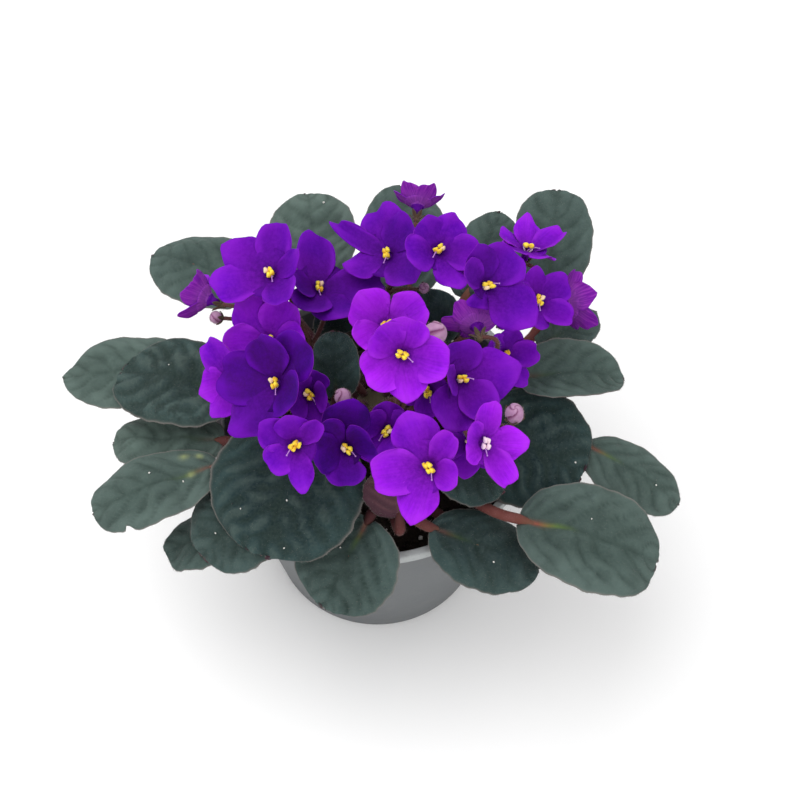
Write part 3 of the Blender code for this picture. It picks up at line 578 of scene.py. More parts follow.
def leaf_finish():
    """Velvety green, maroon below. Painted sheen makes the blade paler towards its margin; painted
    shade lies in the hollows of its quilting and the grooves of its veins, painted highlight on the
    tops of the quilting.
    """
    finish = Finish("violet leaf", 0.75, Sheen_Weight=0.05, Sheen_Roughness=0.4,
                    Sheen_Tint=(0.70, 0.95, 0.85, 1.0), Specular_IOR_Level=0.12)
    # The tone mark is partly painted shade: the leaves that lie in shade are painted darker.
    tone = finish.mark("tone")
    high = finish.mark("high")
    pale = finish.mix(tone, (0.028, 0.060, 0.062), (0.146, 0.196, 0.172))
    foot = finish.mix(finish.range(finish.mark("share"), 0.06, 0.20), (0.26, 0.085, 0.055),
                      (0.150, 0.245, 0.045))
    top = finish.layers(
        finish.mix(tone, (0.003, 0.014, 0.019), (0.102, 0.148, 0.128)),
        # Painted sheen: the blade grows paler towards its margin and tip.
        (finish.mark("rim"), pale),
        # Painted shade in the hollows of the quilting, then painted highlight on its tops.
        (finish.range(high, 0.5, 0.0, 0.0, 0.55), (0.006, 0.016, 0.014)),
        (finish.range(high, 0.5, 1.0, 0.0, 0.26), (0.118, 0.160, 0.138)),
        (finish.patches(70, 4, 0.38, 0.68, 0.28), (0.024, 0.036, 0.030)),
        (finish.patches(150, 3, 0.50, 0.62, finish.mark("blotch")), (0.016, 0.028, 0.026)),
        (finish.patches(900, 4, 0.35, 0.70, 0.14, 0.7), (0.135, 0.175, 0.150)),
        # Painted shade in the grooves of the veins.
        (finish.mark("vein", 0.30), (0.010, 0.021, 0.015)),
        (finish.mark("rib"), foot),
        (finish.mark("spot", 0.7), (0.30, 0.34, 0.14)),
        (finish.mark("edge", 0.50), (0.22, 0.19, 0.175)))
    below = finish.layers(
        (0.060, 0.018, 0.034),
        (finish.noise(120), (0.090, 0.050, 0.055)),
        # Painted shade: the undersides of the darkest, most shaded leaves are darker still.
        (finish.times(finish.sum("SUBTRACT", 0.12, tone, True), 6.0), (0.036, 0.010, 0.022)),
        (finish.mark("vein", 0.6), (0.135, 0.060, 0.072)))
    apart = finish.node("ShaderNodeSeparateXYZ", Vector=finish.place).outputs
    axis = finish.sum("SQRT", finish.sum("ADD", finish.times(apart["X"], apart["X"]),
                                         finish.times(apart["Y"], apart["Y"])))
    stem = finish.layers(
        (0.15, 0.11, 0.05),
        (finish.mark("stem_red"), (0.165, 0.036, 0.042)),
        (finish.patches(260, 3, 0.4, 0.75), (0.19, 0.068, 0.062)),
        # Painted shade: the petioles darken as they near the crown.
        (finish.range(axis, 0.064, 0.047, 0.0, 0.92), (0.034, 0.009, 0.014)))
    colour = finish.layers(top, (finish.sum("MINIMUM", finish.mark("under"), 1.0), below),
                           (finish.mark("stem"), stem))
    cells = finish.node("ShaderNodeTexVoronoi", Vector=finish.place, Scale=600).outputs["Distance"]
    return finish.done(colour, finish.sum("ADD", finish.noise(1100, 4), finish.times(cells, 0.5)),
                       0.16, 0.0004)


def hair_finish(name, colour, pale):
    finish = Finish(name, 0.6, Specular_IOR_Level=0.2)
    return finish.done(finish.mix(finish.noise(400), colour, pale))


def petal_finish():
    """Velvet violet with fine rays, a paler margin and a pinkish back; painted shade lies round the
    throat and in the hollows of the ruffles, painted highlight on the tops of the ruffles.
    """
    finish = Finish("violet petal", 0.7, Sheen_Weight=0.02, Sheen_Roughness=0.35,
                    Sheen_Tint=(0.45, 0.05, 0.95, 1.0), Specular_IOR_Level=0.05)
    # The tone mark is partly painted shade: the blooms that lie in shade are painted darker.
    tone = finish.mark("tone")
    edge = finish.mark("edge")
    rays = finish.node("ShaderNodeCombineXYZ", X=finish.mark("across", 7.0),
                       Y=finish.mark("radial", 1.1), Z=finish.mark("seed")).outputs["Vector"]
    streak = finish.patches(1.5, 4, 0.40, 0.70, 1.0, 0.65, rays)
    heart = finish.range(finish.mark("radial"), 0.10, 0.80, 0.80, 0.0)

    def toned(share, dark, bright):
        return share, finish.mix(tone, dark, bright)

    front = finish.layers(
        (0.024, 0.002, 0.090),
        (finish.range(tone, 0.0, 0.5), (0.112, 0.001, 0.43)),
        (finish.range(tone, 0.5, 1.0), (0.37, 0.012, 0.84)),
        (finish.times(streak, 0.38), (0.055, 0.001, 0.22)),
        toned(finish.patches(90, 3, 0.35, 0.7, 0.30), (0.050, 0.001, 0.30), (0.42, 0.014, 0.80)),
        toned(finish.patches(38, 2, 0.42, 0.62, 0.24), (0.075, 0.001, 0.11), (0.44, 0.012, 0.64)),
        # Painted shade round the throat.
        (heart, (0.036, 0.001, 0.095)),
        # Paler along the margin, with painted highlight on the tops of the ruffles.
        toned(finish.range(edge, 0.0, 1.0, 0.0, 0.42), (0.14, 0.002, 0.46), (0.46, 0.040, 0.78)),
        # Painted shade in the hollows of the ruffles.
        (finish.range(edge, 0.0, -1.0, 0.0, 0.50), (0.045, 0.001, 0.17)),
        toned(finish.patches(800, 4, 0.38, 0.68, 0.20, 0.7), (0.085, 0.001, 0.40),
              (0.50, 0.035, 0.92)))
    back = finish.layers(
        (0.155, 0.010, 0.30),
        (streak, (0.31, 0.035, 0.44)),
        (finish.times(heart, 0.45), (0.36, 0.13, 0.42)))
    grain = finish.sum("ADD", finish.noise(2600, 2), finish.times(streak, 0.5))
    return finish.done(finish.mix(finish.mark("under"), front, back), grain, 0.18, 0.0003)


def stalk_finish():
    """Reddish brown stalks, green and maroon sepals, and mauve buds with painted shade under the
    lapping edges of their petals.
    """
    finish = Finish("flower stalk", 0.65, Sheen_Weight=0.1, Specular_IOR_Level=0.25)
    stem = finish.mix(finish.noise(220), (0.060, 0.016, 0.018), (0.14, 0.050, 0.040))
    sepal = finish.mix(finish.noise(500), (0.040, 0.045, 0.018), (0.12, 0.055, 0.040))
    # The fold mark paints shade under the lapping edge of each bud petal.
    bud = finish.layers((0.28, 0.11, 0.26), (finish.noise(420), (0.52, 0.31, 0.45)),
                        (finish.mark("fold"), (0.16, 0.025, 0.11)))
    colour = finish.layers(stem, (finish.mark("sepal"), sepal), (finish.mark("bud"), bud))
    return finish.done(colour, finish.noise(1800), 0.35, 0.0003)


def anther_finish():
    finish = Finish("anther", 0.55, Specular_IOR_Level=0.3)
    colour = finish.layers((0.70, 0.36, 0.015),
                           (finish.patches(500, 3, 0.35, 0.65), (0.95, 0.80, 0.07)),
                           (finish.mark("pale"), (0.82, 0.62, 0.70)))
    return finish.done(colour, finish.noise(2600), 0.35, 0.0002)


def pot_finish():
    """Grey moulded plastic with faint mottling, dust and scuffs, and a painted highlight that makes
    the lip lighter.
    """
    finish = Finish("pot plastic", 0.55, Specular_IOR_Level=0.3)
    cloud = finish.noise(45, 5)
    height = finish.node("ShaderNodeSeparateXYZ", Vector=finish.place).outputs["Z"]
    lip_foot = LIP_FOOT * MM
    colour = finish.layers(
        (0.106, 0.115, 0.122),
        (finish.range(cloud, 0.35, 0.7), (0.142, 0.150, 0.154)),
        # Painted highlight: the lip is lighter than the wall below it.
        (finish.range(height, lip_foot, lip_foot + 0.0012), (0.38, 0.40, 0.40)),
        (finish.patches(1400, 2, 0.62, 0.72, 0.25), (0.05, 0.05, 0.05)),
        (finish.patches(160, 6, 0.55, 0.8, 0.30, 0.7), (0.21, 0.205, 0.20)))
    finish.feed(finish.shader.inputs["Roughness"], finish.range(cloud, 0.3, 0.7, 0.48, 0.65))
    return finish.done(colour, finish.noise(900, 4), 0.15, 0.0002)


def soil_finish():
    finish = Finish("potting soil", 0.95, Specular_IOR_Level=0.2)
    colour = finish.layers(
        (0.006, 0.005, 0.004),
        (finish.patches(420, 5, 0.3, 0.75, 1.0, 0.7), (0.034, 0.024, 0.018)),
        (finish.patches(1300, 3, 0.62, 0.75, 0.35), (0.08, 0.055, 0.035)))
    return finish.done(colour, finish.noise(800, 6, 0.7), 0.8, 0.001)


def perlite_finish():
    finish = Finish("perlite", 0.85)
    colour = finish.mix(finish.noise(900), (0.62, 0.60, 0.55), (0.88, 0.87, 0.84))
    return finish.done(colour, finish.noise(2500), 0.6, 0.0003)


def crown_finish():
    finish = Finish("crown", 0.8)
    colour = finish.mix(finish.noise(180, 5), (0.05, 0.035, 0.02), (0.13, 0.11, 0.05))
    return finish.done(colour, finish.noise(600, 5), 0.7, 0.0006)


# Leaves

class Blade:
    """The curved sheet of one leaf, laid out by a turn from base to tip and a share across."""

    def __init__(self, number):
        (self.heading, self.height, base, tip, self.width, roll, arch, self.rise,
         self.lift) = LEAVES[number]
        self.shift, self.point_out, self.taper = OUTLINES.get(number, (0, 0, 0))
        self.number = number
        self.base = np.array(base, float)
        self.tip = np.array(tip, float)
        along = unit(self.tip - self.base)
        side = unit(np.cross(along, UP))
        self.side = turned(side, np.cross(side, along), math.radians(roll))[0]
        self.bend = (self.base + self.tip) / 2 + 2 * arch * np.cross(self.side, along)
        self.length = float(np.linalg.norm(self.tip - self.base))

    def spine(self, share):
        share = np.asarray(share, float)[..., None]
        rest = 1.0 - share
        inside = rest * rest * self.base + 2 * rest * share * self.bend + share * share * self.tip
        return np.where(share < 0, self.base + 2 * share * (self.bend - self.base), inside)

    def slope(self, share):
        share = np.maximum(np.asarray(share, float), 0.0)[..., None]
        return unit((1 - share) * (self.bend - self.base) + share * (self.tip - self.bend))

    def sheet(self, turn, across):
        """Middle surface, its normal, the share along the spine and the half width."""
        angle = math.pi * turn ** 0.9
        middle = (1 - np.cos(angle)) / 2
        blunt = (0.75 + self.point_out * np.maximum(0, 2 * middle - 1)
                 + self.taper * np.maximum(0, 1 - 2 * middle))
        middle = middle + self.shift * np.sin(angle) ** 2
        margin = (1 + BASE_LOBE) * middle - BASE_LOBE
        share = middle + (margin - middle) * across * across
        half = self.width / 2 * np.sin(angle) ** blunt
        normal = np.cross(self.side, self.slope(share))
        centre = self.spine(share) + self.side * (across * half)[..., None]
        lift = self.rise * across * across * np.sin(angle)
        return centre + normal * lift[..., None], normal, share, half


def leaf_relief(blade, turn, across):
    """The plain sheet, the height of the quilted surface over it, and the marks that go with it."""
    number = blade.number
    middle, normal, share, half = blade.sheet(turn, across)
    out = np.abs(across) * half
    phase = 0.37 * np.sign(across) + 0.61 * number
    bow = 0.62 * out / blade.length + 0.20 * across * across
    bow = bow + 0.030 * ripple(middle, 14.0, 120 + number)
    order = VEIN_COUNT * (share - bow) + phase
    away = np.abs(order - np.round(order)) * blade.length / VEIN_COUNT * 0.85
    reach = 1 - smooth(0.65, 1.0, np.abs(across))
    vein = np.exp(-(away / 0.65) ** 2) * reach * smooth(0.0, 0.12, share)
    rib = np.exp(-(out / 0.75) ** 2) * (1 - 0.6 * share)
    puff = smooth(0.0, 4.5, away) * reach * smooth(0.0, 4.0, out)
    pucker, painted_light_contrast = PUCKER.get(number, PLAIN_PUCKER)
    height = 0.75 * pucker * puff - 0.10 * vein - 0.45 * rib
    height = height + 0.08 * ripple(middle, 3.0, 40 + number) * reach
    fold = np.sin(math.tau * (0.5 * order + 0.35 * ripple(middle, 16.0, 90 + number)))
    height = height + (0.30 * ripple(middle, 7.0, 60 + number) + 0.22 * pucker * fold) * reach
    # The high mark sets the painted shade in the hollows of the quilting and the painted highlight
    # on its tops.
    high = np.clip(0.46 + 0.55 * painted_light_contrast * (height - 0.30 * pucker), 0, 1)
    height = height + ripple(middle, 21.0, 80 + number)
    height = height - 0.9 * np.abs(across) ** 5 * (1 - 0.5 * share)
    wave = np.sin(math.tau * 4.2 * turn + number + 1.3 * np.sign(across))
    height = height + 0.30 * np.abs(across) ** 3 * wave
    return middle, normal, height, share, half, np.maximum(vein, rib), high


def make_leaf(number, finish, hair, stem_hair):
    """One leaf: quilted blade, petiole that runs on as a keel, and hairs."""
    blade = Blade(number)
    turn, across = np.meshgrid(np.linspace(0.012, 0.99, LEAF_ROWS),
                               np.sin(np.linspace(-math.pi / 2, math.pi / 2, LEAF_COLUMNS)),
                               indexing="ij")
    sign = np.sign(across)
    scallop = 0.010 * np.cos(math.tau * 11 * turn + number + 2 * sign)
    scallop = scallop + 0.012 * np.cos(math.tau * 4.3 * turn + 3 * number + sign)
    if number in NICKS:
        place, side, depth = NICKS[number]
        scallop = scallop - depth * np.exp(-((turn - place) / 0.022) ** 2) * (sign == side)
    wide = across * (1 + scallop * np.abs(across) ** 4)
    middle, normal, relief, share, half, vein, high = leaf_relief(blade, turn, wide)
    top = middle + normal * relief[..., None]
    thin = 0.28 + 0.55 * (1 - np.abs(across) ** 3)
    bottom = top - grid_normals(top) * thin[..., None]
    edge = np.maximum(smooth(0.955, 0.998, np.abs(across)), smooth(0.975, 0.992, turn))
    # The rim mark paints sheen: the blade grows paler towards its margin and tip.
    rim = np.maximum(smooth(0.35, 1.0, np.abs(across)), smooth(0.5, 1.0, turn)) * 0.9
    rib = np.exp(-(across * half / 0.85) ** 2) * (1 - smooth(0.05, 0.38, share))
    spot = np.zeros_like(turn)
    for place, shift in SPOTS.get(number, ()):
        away = ((turn - place) / 0.02) ** 2 + ((across - shift) / 0.1) ** 2
        spot = np.maximum(spot, np.exp(-away))
    cluster = Cluster()
    tone = LEAF_TONES_AND_SHADE[number]
    marks = both_sides(vein=vein, edge=edge, rim=rim, share=share, high=high, spot=spot,
                       rib=rib * RIB_TONES.get(number, PLAIN_RIB))
    if number in TWISTED:
        marks["under"] = marks["under"] + 1.0
    cluster.add(shell(top, bottom), tone=tone, blotch=BLOTCHES.get(number, PLAIN_BLOTCH), **marks)
    path, radii, red = petiole_path(blade, top, bottom)
    cluster.add(tube(path, radii, PETIOLE_SIDES), stem=1.0, stem_red=np.concatenate(
        [np.repeat(red, PETIOLE_SIDES), red[:1], red[-1:]]), tone=tone)
    cluster.piece(f"leaf_blade_{number:02d}", finish, "leaf", f"leaf_{number:02d}")
    leaf_hairs(number, top, hair)
    cluster = Cluster()
    draw = np.random.default_rng(PETIOLE_HAIR_SEED + number)
    add_stem_hairs(cluster, path[:PETIOLE_STEPS], radii[:PETIOLE_STEPS], STEM_HAIRS, 1.3, draw)
    cluster.piece(f"petiole_hairs_{number:02d}", stem_hair, "leaf")


def petiole_path(blade, top, bottom):
    """The petiole's points, radii and redness, and on along the underside of the blade."""
    outward = heading_vector(blade.heading)
    raised = blade.lift * UP
    start = outward * (CROWN_RADIUS - 0.4) + blade.height * UP
    slope = blade.slope(0.0)
    end = blade.base - slope * PETIOLE_TUCK
    reach = np.linalg.norm(end - start) * PETIOLE_SWEEP
    first = start + unit(outward + 0.3 * UP) * reach + raised
    stem = cubic((start, first, end - slope * reach + raised, end), PETIOLE_STEPS)
    rows = KEEL_ROWS
    centre = LEAF_COLUMNS // 2
    radii = PETIOLE_RADIUS * np.linspace(0.58, 0.16, len(rows))
    down = unit(bottom[rows, centre] - top[rows, centre])
    keel = bottom[rows, centre] + down * (0.6 * radii)[:, None]
    thick = np.concatenate([PETIOLE_RADIUS * np.linspace(1.05, 0.98, PETIOLE_STEPS), radii])
    red = np.concatenate([np.linspace(1.0, 0.75, PETIOLE_STEPS), np.linspace(0.4, 0.0, len(rows))])
    return np.concatenate([stem, keel]), thick, red


def leaf_hairs(number, top, hair):
    """Short hairs over the blade and a fringe on its margin."""
    draw = np.random.default_rng(BLADE_HAIR_SEED + number)
    rows, columns = top.shape[:2]
    normals = grid_normals(top)
    forward = unit(np.gradient(top, axis=0))
    row = draw.integers(1, rows - 2, BLADE_HAIRS)
    column = draw.integers(1, columns - 2, BLADE_HAIRS)
    place, normal = top[row, column], normals[row, column]
    shift = draw.normal(0, 0.35, (BLADE_HAIRS, 3))
    roots = place + shift - normal * np.sum(shift * normal, -1, keepdims=True)
    ways = normal + 0.7 * forward[row, column] + draw.normal(0, 0.25, (BLADE_HAIRS, 3))
    cluster = Cluster()
    cluster.add(spikes(roots, ways, draw.uniform(0.3, 0.7, BLADE_HAIRS), 0.05))
    row = draw.integers(1, rows - 1, FRINGE_HAIRS)
    column = np.where(draw.random(FRINGE_HAIRS) < 0.5, 0, columns - 1)
    inner = np.where(column == 0, 3, columns - 4)
    place, ahead = top[row, column], forward[row, column]
    away = unit(place - top[row, inner])
    roots = place + ahead * draw.uniform(-0.6, 0.6, FRINGE_HAIRS)[:, None]
    ways = away + 0.5 * ahead + draw.normal(0, 0.3, (FRINGE_HAIRS, 3))
    cluster.add(spikes(roots - away * 0.15, ways, draw.uniform(0.35, 0.8, FRINGE_HAIRS), 0.06))
    cluster.piece(f"leaf_hairs_{number:02d}", hair, "leaf")


def add_stem_hairs(cluster, path, radii, count, length, draw):
    place = draw.uniform(0, len(path) - 1.01, count)
    step = place.astype(int)
    share = (place - step)[:, None]
    centre = path[step] * (1 - share) + path[step + 1] * share
    along = unit(path[step + 1] - path[step])
    around = draw.normal(size=(count, 3))
    around = unit(around - np.sum(around * along, -1, keepdims=True) * along)
    ways = around + 0.35 * along + draw.normal(0, 0.2, (count, 3))
    cluster.add(spikes(centre + around * (radii[step] * 0.95)[:, None], ways,
                       draw.uniform(0.5, 1.0, count) * length, 0.07))


# Blooms

def facing(heading, lift):
    """The way that a flower faces, and the directions up and right across it."""
    out, up = turned(heading_vector(heading), UP, math.radians(lift))
    return out, up, np.cross(up, out)


def petals_of(number, spin, radius, rise):
    """The five lobes of a bloom: direction, reach, rise and half width of each."""
    if number in PETALS:
        return PETALS[number]
    return [((angle + spin) % 360, radius * share, rise, radius * LOBE_WIDTH)
            for angle, share in LOBES]


def petal_grid(number, lobe, petal):
    """Places along, across and forward in one petal's grid, with the shares that mark it.

    The last of them goes from -1 in the hollow of a ruffle to 1 on the margin, and is painted as
    shade in the hollows and as highlight on the tops of the ruffles.
    """
    angle, reach, rise, half = petal
    phase = 1.7 * number + 2.3 * lobe
    part = np.linspace(0, 1, PETAL_ROWS)[:, None] ** 0.9
    round_ = np.linspace(-math.pi / 2, math.pi / 2, PETAL_COLUMNS)[None]
    cross = np.sin(round_)
    foot = THROAT_RADIUS * 0.6
    grow = np.tanh(2.3 * part) / math.tanh(2.3)
    wide = (foot + (half - foot) * grow) * (1 + 0.03 * np.sin(6 * part + 1.3 * phase))
    ends = 0.52 + 0.48 * np.cos(round_) ** (1.05 + 0.25 * math.sin(1.9 * phase))
    ends = ends * (1 + 0.030 * np.sin(1.5 * math.pi * cross + phase)
                   + 0.010 * np.sin(3.3 * math.pi * cross - phase))
    along = foot + (reach - foot) * part * (1 + (ends - 1) * part ** 0.35)
    sideways = cross * wide
    away = np.hypot(along, sideways) / reach
    height = rise * away ** 1.6
    rim = smooth(0.35, 1.0, np.maximum(part, np.abs(cross) * part ** 0.4))
    ruffle = np.sin(3.6 * cross + phase) + 0.35 * np.sin(7.1 * cross - 1.6 * phase)
    height = height + 0.055 * reach * rim * ruffle * part
    height = height + 0.022 * reach * rim * np.sin(9 * part + phase) * cross
    height = height - 0.08 * half * np.abs(cross) ** 2.5 * part ** 0.5 * (1 + 0.8 * math.sin(phase))
    height = height - 0.35 * np.exp(-(sideways / 0.8) ** 2) * (1 - 0.7 * part)
    layer = -0.30 * math.cos(math.radians(angle)) + 0.16 * math.sin(2.6 * lobe + number)
    height = height + layer * smooth(0.1, 0.5, part)
    height = height - 1.0 * (1 - smooth(0.0, 0.14, part))
    edge = np.maximum(smooth(0.70, 1.0, np.abs(cross)) * smooth(0.1, 0.5, part),
                      smooth(0.75, 1.0, part))
    # The ruffle goes into the edge mark, which paints shade in its hollows and highlight on its
    # tops.
    edge = np.clip(edge + 0.7 * rim * ruffle, -1, 1)
    return along, sideways, height, away, cross * np.ones_like(along), edge


def sheet_normals(grid):
    """Normals of a petal's grid, with those of its outermost places taken from further in."""
    normals = grid_normals(grid)
    normals[:, 0] = normals[:, 2]
    normals[:, -1] = normals[:, -3]
    normals[-1] = normals[-3]
    return normals


def limb_grid(petals):
    """Distances, turns and heights of the joined middle of the corolla, behind its petals."""
    turns = np.linspace(0, 360, 49)
    angles = [petal[0] for petal in petals]
    reach = np.interp(turns, angles, [petal[1] for petal in petals], period=360)
    rise = np.interp(turns, angles, [petal[2] for petal in petals], period=360)
    part = np.linspace(0.0, 0.46, 6)[:, None]
    distance = THROAT_RADIUS * 0.7 + (reach - THROAT_RADIUS * 0.7) * part
    height = rise * (distance / reach) ** 1.6 - 0.55
    return distance, np.radians(turns)[None] * np.ones_like(distance), height


def make_bloom(number, row, finish, anthers, styles):
    """One corolla of five overlapping petals with its tube, anthers and style."""
    centre, heading, lift, spin, radius, rise = row[1:]
    out, up, right = facing(heading, lift)
    centre = np.array(centre, float)
    cluster = Cluster()
    tone = BLOOM_TONES_AND_SHADE[number]
    petals = petals_of(number, spin, radius, rise)
    for lobe, petal in enumerate(petals):
        turn = math.radians(petal[0])
        radial, tangent = turned(up, right, turn)
        along, sideways, height, part, cross, edge = petal_grid(number, lobe, petal)
        front = lay(centre, (along, radial), (sideways, tangent), (height, out))
        back = front - sheet_normals(front) * (0.45 - 0.25 * part)[..., None]
        # Painted shade: the upper lobes are darker. Each lobe also differs a little at random.
        shade = tone - 0.07 * math.cos(turn) + 0.05 * math.sin(3.7 * lobe + number)
        cluster.add(shell(front, back), tone=min(max(shade, 0.0), 1.0), seed=number + 0.37 * lobe,
                    **both_sides(radial=part, across=cross, edge=edge))
    distance, turn, height = limb_grid(petals)
    limb = lay(centre, (distance * np.cos(turn), up), (distance * np.sin(turn), right),
               (height, out))
    cluster.add(shell(limb, limb - out * 0.3), tone=max(tone - 0.1, 0.0), seed=float(number),
                **both_sides(radial=distance / radius, across=turn, edge=distance * 0))
    path = centre - np.outer((TUBE_LENGTH, 2.2, 1.2, 0.8), out)
    cluster.add(tube(path, (1.3, 1.5, 2.0, 2.6), 16), tone=tone, radial=0.15)
    cluster.piece(f"bloom_petals_{number:02d}", finish, "petal", f"bloom_{number:02d}")
    add_anthers(number, centre, out, up, right, anthers, styles)


def add_anthers(number, centre, out, up, right, anthers, styles):
    """Two bilobed yellow anthers held together over the throat, and a slim style beside them."""
    upward, across = turned(up, right, math.radians(65 * math.sin(3.1 * number)))

    def spot(ahead, aside, above=0.0):
        return centre + out * ahead + across * aside + upward * above

    def dent(down, round_):
        return 1 + 0.13 * np.sin(3 * round_ + number + 2 * down) * np.sin(down)

    for side in (-1, 1):
        for half in (-1, 1):
            shift = 1 + 0.16 * math.sin(5.3 * number + 2 * side + half)
            place = spot(1.5 + 0.45 * math.sin(2.1 * number + half - side), side * 0.98 * shift,
                         half * 0.66 * shift)
            lean = 0.5 * math.sin(1.7 * number + 2.9 * side)
            axes = ((across + upward * lean) * 1.05, (upward - across * lean) * 0.76, out)
            odd = (side, half) == ((-1) ** number, -1) and number % 3 != 0
            pale = 1.0 if number == PALE_BLOOM else 0.5 if odd else 0.0
            anthers.add(ball(place, axes, 9, 14, dent), pale=pale)
        path = (spot(-1.2, side * 0.7), spot(0.4, side * 1.5), spot(1.4, side * 1.2))
        anthers.add(tube(path, (0.35, 0.38, 0.4), 8), pale=1.0)
    way = 1 if number % 2 else -1
    path = cubic((spot(-0.6, 0.0, 0.4), spot(1.4, 0.8 * way, 0.4), spot(1.8, 2.6 * way, -0.1),
                  spot(1.5, 4.0 * way, -0.7)), STYLE_STEPS)
    styles.add(tube(path, np.linspace(0.26, 0.17, STYLE_STEPS), 6))
    styles.add(ball(path[-1], np.eye(3) * 0.32, 5, 8))


# Flower stalks

SEPAL_PART = np.linspace(0, 1, 7)[:, None]
SEPAL_ACROSS = np.linspace(-1, 1, 5)[None]


def add_sepal(cluster, foot, ways, reaches, thick):
    """One sepal: a slim sheet with its reach outward, half width and reach ahead at each place."""
    radial, tangent, along = ways
    reach, wide, ahead = reaches
    middle = lay(foot, (reach, radial), (SEPAL_ACROSS * wide, tangent), (ahead, along))
    cluster.add(shell(middle, middle - grid_normals(middle) * thick), sepal=1.0)


def add_calyx(cluster, seat, along, draw):
    """Five slim hairy sepals that hold the tube of a bloom."""
    side, up = beside(along)
    part = SEPAL_PART
    reaches = (0.9 + (CALYX_RADIUS - 0.7) * part ** 1.3,
               0.85 * np.sin(math.pi * (0.12 + 0.86 * part)) ** 0.7 + 0.02,
               -2.4 + 3.4 * part ** 0.8 + 0.25 * SEPAL_ACROSS ** 2)
    for sepal in range(SEPALS):
        turn = math.tau * sepal / SEPALS + draw.uniform(-0.2, 0.2)
        add_sepal(cluster, seat, (*turned(side, up, turn), along), reaches, 0.3)
    cluster.add(ball(seat - along * 1.8, (side * 1.25, up * 1.25, along * 1.3), 6, 10), sepal=1.0)


def add_bud(cluster, centre, along, radius, draw):
    """A closed bud: furled petals that lap over each other, with sepals round its foot."""
    side, up = beside(along)
    turn = draw.uniform(0, math.tau)

    def lap(down, round_):
        """How far round its own petal a place on the bud is, from 0 to 1."""
        return (1.5 * (round_ + 1.7 * down + 0.5 * np.sin(2 * down)) / math.pi + turn) % 1.0

    def furl(down, round_):
        return 0.88 + 0.17 * lap(down, round_) ** 0.6 * np.sin(down) ** 0.5 + 0.03 * np.cos(down)

    # Painted shade: darkest just under the edge of the petal that laps over.
    fold = 1 - smooth(0.0, 0.35, lap(*ball_angles(*BUD_GRID)))
    axes = (side * radius, up * radius * 0.94, along * radius * 1.05)
    cluster.add(ball(centre, axes, *BUD_GRID, furl), bud=1.0,
                fold=np.concatenate([fold.ravel(), [0.5, 0.5]]))
    part = SEPAL_PART
    wide = 0.30 * radius * np.sin(math.pi * (0.15 + 0.83 * part)) ** 0.7 + 0.02
    for sepal in range(SEPALS):
        bow = math.pi * (0.95 - (0.40 + 0.12 * math.sin(3 * sepal + turn)) * part)
        reaches = (radius * (1.04 + 0.18 * part ** 3) * np.sin(bow), wide,
                   radius * 1.12 * np.cos(bow))
        ways = (*turned(side, up, math.tau * sepal / SEPALS + turn), along)
        add_sepal(cluster, centre, ways, reaches, 0.25)


def stalk_curves(cyme):
    """The peduncle's curve, and each pedicel's curve with its end: (seat, along, bud radius)."""
    heading, fork = CYMES[cyme]
    fork = np.array(fork, float)
    out = heading_vector(heading)
    start = out * PEDUNCLE_CIRCLE + (CROWN_TOP - 0.4) * UP
    reach = np.linalg.norm(fork - start)
    climb = unit(out * 0.4 + UP)
    rising = unit(fork - start + reach * 0.5 * UP)
    peduncle = (start, start + climb * reach * 0.3, fork - rising * reach * 0.3, fork)
    ends = []
    for number, row in BLOOMS.items():
        if row[0] == cyme:
            along = facing(row[2], row[3])[0]
            seat = np.array(row[1], float) - along * (TUBE_LENGTH + GAP)
            ends.append((seat, along, 0.0, BENDS.get(number, (0, 0, 0))))
    for bud_cyme, centre, turn, lift, radius, bend in BUDS:
        if bud_cyme == cyme:
            ends.append((np.array(centre, float), facing(turn, lift)[0], radius, bend))
    root = fork - rising * PEDICEL_ROOT
    pedicels = []
    for seat, along, radius, bend in ends:
        reach = np.linalg.norm(seat - fork)
        foot = seat - along * PEDICEL_SEAT
        bend = np.array(bend, float)
        curve = (root, root + rising * reach * 0.35 + bend, foot - along * reach * 0.3 + bend, foot)
        pedicels.append((curve, seat, along, radius))
    return peduncle, pedicels


def make_stalk(count, cyme, finish, hair):
    """One forking stalk with its calyxes, buds and hairs."""
    draw = np.random.default_rng(STALK_SEED + count)
    peduncle, pedicels = stalk_curves(cyme)
    cluster, fuzz = Cluster(), Cluster()
    path = cubic(peduncle, PEDUNCLE_STEPS)
    radii = PEDUNCLE_RADIUS * np.linspace(1.05, 0.95, PEDUNCLE_STEPS)
    cluster.add(tube(path, radii, 12))
    add_stem_hairs(fuzz, path, radii, STEM_HAIRS, 1.6, draw)
    for curve, seat, along, radius in pedicels:
        path = cubic(curve, PEDICEL_STEPS)
        radii = PEDICEL_RADIUS * np.linspace(1.0, 0.8, PEDICEL_STEPS)
        cluster.add(tube(path, radii, 10))
        add_stem_hairs(fuzz, path, radii, PEDICEL_HAIRS, 1.1, draw)
        if radius:
            add_bud(cluster, seat, along, radius, draw)
            around = unit(draw.normal(size=(PEDICEL_HAIRS, 3)))
            fuzz.add(spikes(seat + around * radius * 0.95, around + 0.6 * along,
                            draw.uniform(0.3, 0.9, PEDICEL_HAIRS), 0.06))
        else:
            add_calyx(cluster, seat, along, draw)
            around = unit(draw.normal(size=(CALYX_HAIRS, 3)))
            around = unit(around - np.sum(around * along, -1, keepdims=True) * along)
            roots = seat + around * 1.5 + draw.uniform(-2.4, 0.4, CALYX_HAIRS)[:, None] * along
            fuzz.add(spikes(roots, around, draw.uniform(0.5, 1.0, CALYX_HAIRS), 0.06))
    cluster.piece(f"stalk_cyme_{count}", finish, "flower_stalk", f"flower_stalk_{count}")
    fuzz.piece(f"stalk_hairs_{count}", hair, "flower_stalk")


# Pot, soil and crown

